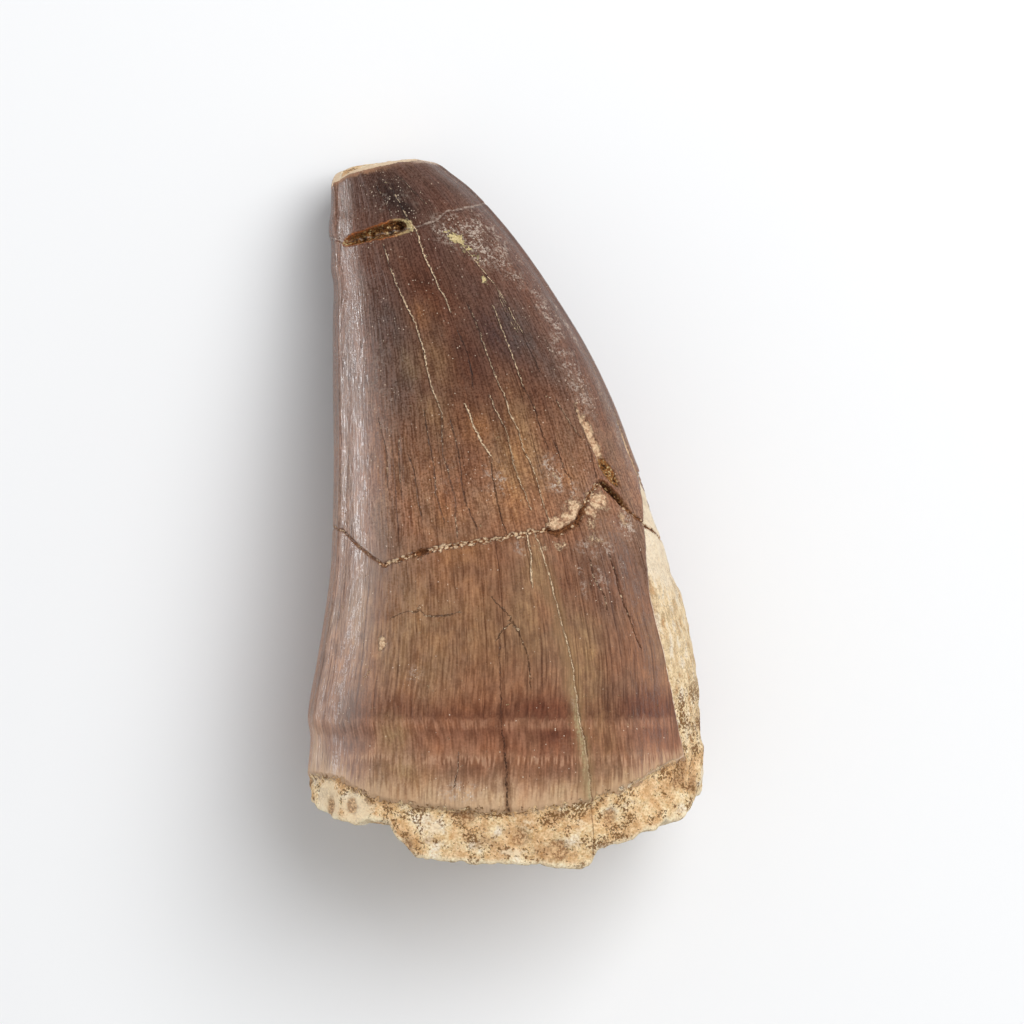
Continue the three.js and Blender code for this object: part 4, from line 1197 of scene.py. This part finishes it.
def draw_breaks(m, colour):
    """The glued main break, open and dark or filled with pale grains, and the tip's break."""
    rough = noise(m.place, 3.2, 3, 0.65)
    main = away(m.main_break, rough, 0.55)
    width = where(band(m.break_fill, 0.12, 0, 0.17, 0.19), band(m.turn, 128, 134, 1, 0.35))
    width = times(width, band(noise(m.place, 1.6, 2, 0.6), 0.36, 0.62, 0.45, 1.5))
    earth = mix(band(m.grainy, 0.38, 0.54), CRACK_DARK, BREAK_BROWN)
    grains = either(spots(m.place, 2.4, 0.24, times(m.break_fill, 0.9)),
                    spots(stretch(m.place, (1, 1, 1), (3, 5, 0)), 3.6, 0.16, m.break_fill))
    filling = paint(earth, CRACK_LIGHT, grains, band(m.dusty, 0.34, 0.5, 0.4, 1))
    within = band(over(main, width), 1.4, 0.8)
    colour = darken(colour, LINE_TINT, band(main, 0.45, 0.1), band(m.turn, 128, 134, 0.5, 0.2))
    colour = paint(colour, filling, within)
    tip = away(m.tip_break, m.grainy, 0.3)
    line = where(band(tip, 0.09, 0.03), band(m.blotchy, 0.4, 0.58, 0.1, 0.55))
    edge = size_of(plus(m.tip_break, 0.12))
    colour = darken(colour, LINE_TINT, band(edge, 0.16, 0.04), 0.35)
    return paint(colour, SCUFF, line), within


def draw_pits(m, colour):
    """The slot under the tip and the pits at the right of the break, with their stained rims."""
    rim = band(uneven(m.pit_rim, m.crumbly, 1), 0.3, 0.6)
    rim_colour = mix(band(m.turn, 108, 98), PIT_RUST, darken(GOLD, LINE_TINT, 0.5))
    rim_colour = shade(rim_colour, m.dusty, (0.7, 0.64, 0.52), (1.25, 1.25, 1.25), 0.2)
    colour = paint(colour, rim_colour, rim, band(m.grainy, 0.36, 0.56, 0.2, 0.8))
    grit = uneven(noise(m.place, 4, 3, 0.75), m.dusty, 0.5)
    floor = ramp(grit, (0.4, PIT_DARK), (0.45, PIT_OLIVE), (0.52, PIT_RUST), (0.58, PIT_OLIVE),
                 (0.66, GOLD))
    # Painted shade in the slot and the deep pit: dark, with a few paler grains.
    shadow = ramp(grit, (0.42, PIT_DARK), (0.56, PIT_DARK), (0.62, PIT_RUST), (0.7, GOLD))
    pit = band(uneven(m.pit, m.crumbly, 0.9, m.grainy, 0.6), 0.18, 0.42)
    return paint(colour, mix(m.pit_dark, floor, shadow), pit), pit


def tooth_colour(m):
    """All the colours together, with masks of the dull places and of the crevices and cracks."""
    enamel, dust = enamel_colour(m)
    dentine, crevices = dentine_colour(m)

    # The enamel pales towards its lower edge, which crumbles into the dentine.
    combed = uneven(m.below, m.striped, 3, m.combed, 1.6)
    enamel = paint(enamel, ENAMEL_END, band(combed, -1.7, 0, 0, 0.7))
    crumbling = band(m.below, -1.8, -0.2, 0.12, 4.2)
    ragged_edge = uneven(m.inside, m.crumbly, crumbling, m.grainy, 0.2)
    edge = band(ragged_edge, -0.03, 0.05)
    worn = where(band(uneven(ragged_edge, m.crumbly, 1), 0.55, 0), band(m.height, 27.5, 28.5),
                 band(m.turn, 80, 110, 0.3, 0.85))
    enamel = paint(enamel, CAP_EDGE, worn)
    colour = mix(edge, dentine, enamel)
    # Painted highlight: a pale line along the enamel's edge beside the bare band.
    edge_highlight = where(band(m.inside, -0.05, 0.02), band(m.inside, 0.3, 0.18), band(m.turn, 60, 50),
                band(m.height, -21, -16, 0.3, 1), band(m.height, -6, -11, 0.3, 1),
                band(m.grainy, 0.36, 0.5, 0.5, 1))
    colour = paint(colour, EDGE_HIGHLIGHT, edge_highlight, 0.9)
    # Painted shade: a dark line on the dentine at the foot of the enamel's step, broken by a noise.
    under = where(band(ragged_edge, -0.3, -0.02), minus(1, edge), band(m.height, 20, 10),
                  band(m.grainy, 0.4, 0.52, 0.1, 0.8), band(m.below, -3, -1, 1, 0.4))
    colour = darken(colour, LINE_TINT, under)

    chalky = band(uneven(m.chalk, m.crumbly, 1.2, m.grainy, 0.6), 0.2, 0.6)
    chalk = mix(band(m.crumbly, 0.42, 0.58), CHALK, CHALK_PALE)
    chalk = shade(chalk, m.dusty, (0.66, 0.58, 0.52), (1.16, 1.16, 1.16), 0.2)
    colour = paint(colour, chalk, chalky, 0.9)
    colour, in_pit = draw_pits(m, colour)
    golden = band(uneven(m.gold, m.crumbly, 2, m.grainy, 1.2), 0.4, 0.7)
    gold = shade(GOLD, m.dusty, (0.66, 0.58, 0.42), (1.2, 1.2, 1.26), 0.2)
    colour = paint(colour, gold, golden, 0.9)
    colour, in_break = draw_breaks(m, colour)
    colour, in_line = draw_long_lines(m, colour)
    colour, in_crack = draw_cracks(m, colour)
    dull = either(minus(1, edge), chalky, in_pit, in_break, golden, in_line, in_crack)
    return colour, dull, dust, crevices, in_crack


# Fine relief of the enamel: how deep each noise goes, in millimetres.
FINE_RELIEF = {"fibred": 0.024, "striped": 0.006, "combed": 0.004, "ridged": 0.02,
               "blotchy": 0.008, "dusty": 0.003}
CRACK_DEPTH = 0.04
CREVICE_DEPTH = 0.07
CRUMB_DEPTH = 0.3


def finish_material():
    m = Marks()
    colour, dull, dust, crevices, in_crack = tooth_colour(m)

    # Gloss: polished enamel, dull everywhere else.
    polish = band(uneven(m.combed, m.dusty, 1), 0.36, 0.62, 0.19, 0.42)
    polish = plus(polish, band(m.height, 2, -16, 0, 0.12))
    polish = plus(polish, times(dust, 0.3))
    roughness = plus(polish, times(dull, 0.5), clamp=True)

    # Fine relief in millimetres: lengthwise grain on the enamel, crumbs on the dentine.
    fine = times(in_crack, -CRACK_DEPTH)
    for name, depth in FINE_RELIEF.items():
        fine = plus(fine, times(getattr(m, name), depth))
    crumbs = times(noise(m.place, 2.8, 6, 0.75), CRUMB_DEPTH)
    crumbs = minus(crumbs, times(crevices, CREVICE_DEPTH))
    height = node("Mix", {0: dull, 2: fine, 3: crumbs}, data_type="FLOAT").outputs[0]
    bump = node("Bump", {"Strength": 1, "Distance": MM, "Height": height}).outputs["Normal"]
    shader = node("BsdfPrincipled", {"Base Color": colour, "Roughness": roughness, "Normal": bump,
                                     "IOR": 1.5, "Specular IOR Level": 0.3})
    node("OutputMaterial", {"Surface": shader.outputs["BSDF"]})


# ---- Studio ----

WORLD_LIGHT = 0.47
FLOOR_COLOUR = (0.85, 0.86, 0.872, 1)
FLOOR_HALF = 3
# The lights: name, place, size, energy in watts, and whether they light surfaces or only shine.
LIGHTS = [
    ("key", (0.25, 0.2, 0.52), (0.42, 0.42), 3.3, True),
    ("left_fill", (-0.5, 0, 0.03), (0.5, 0.05), 0.75, True),
    ("left_strip", (-0.4, 0.08, 0.017), (0.32, 0.022), 1.3, False),
    ("left_glow", (-0.38, 0.08, 0.17), (0.32, 0.14), 0.55, False),
    ("right_strip", (0.4, 0.06, 0.16), (0.4, 0.08), 0.6, False),
]
LIGHT_AIM = Vector((0, 0, 0.01))
# The camera looks straight down, as the photo does.
CAMERA_PLACE = ((0.585 - BOX_MIDDLE[0]) * MM, (0.135 - BOX_MIDDLE[1]) * MM, 0.523)


def make_floor():
    mesh = bpy.data.meshes.new("floor")
    corners = [(x * FLOOR_HALF, y * FLOOR_HALF, 0) for x, y in ((-1, -1), (1, -1), (1, 1), (-1, 1))]
    mesh.from_pydata(corners, [], [range(4)])
    material = bpy.data.materials.new("floor")
    material.use_nodes = True
    shader = material.node_tree.nodes["Principled BSDF"]
    shader.inputs["Base Color"].default_value = FLOOR_COLOUR
    shader.inputs["Roughness"].default_value = 0.9
    mesh.materials.append(material)
    in_scene("floor", mesh)


def make_light(name, place, size, energy, lights_surfaces):
    data = bpy.data.lights.new(name, "AREA")
    data.shape = "RECTANGLE"
    data.size, data.size_y = size
    data.energy = energy
    light = in_scene(name, data)
    light.location = place
    light.rotation_mode = "QUATERNION"
    light.rotation_quaternion = (LIGHT_AIM - Vector(place)).to_track_quat("-Z", "Y")
    light.visible_diffuse = lights_surfaces
    light.visible_glossy = not lights_surfaces


def make_studio():
    scene = bpy.context.scene
    world = bpy.data.worlds.new("studio")
    world.use_nodes = True
    background = world.node_tree.nodes["Background"]
    background.inputs["Color"].default_value = (1, 1, 1, 1)
    background.inputs["Strength"].default_value = WORLD_LIGHT
    scene.world = world
    scene.view_settings.view_transform = "Standard"
    for light in LIGHTS:
        make_light(*light)


def make_camera():
    data = bpy.data.cameras.new("camera")
    data.lens = 200
    data.sensor_width = 36
    data.clip_start, data.clip_end = 0.01, 10
    camera = in_scene("camera", data)
    camera.location = CAMERA_PLACE
    bpy.context.scene.camera = camera


# ---- Scene ----

make_camera()
make_studio()
make_floor()

tooth = build_skin()
finish_material()
tooth.data.materials.append(MATERIAL)
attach(tooth, "root")
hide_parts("tooth")
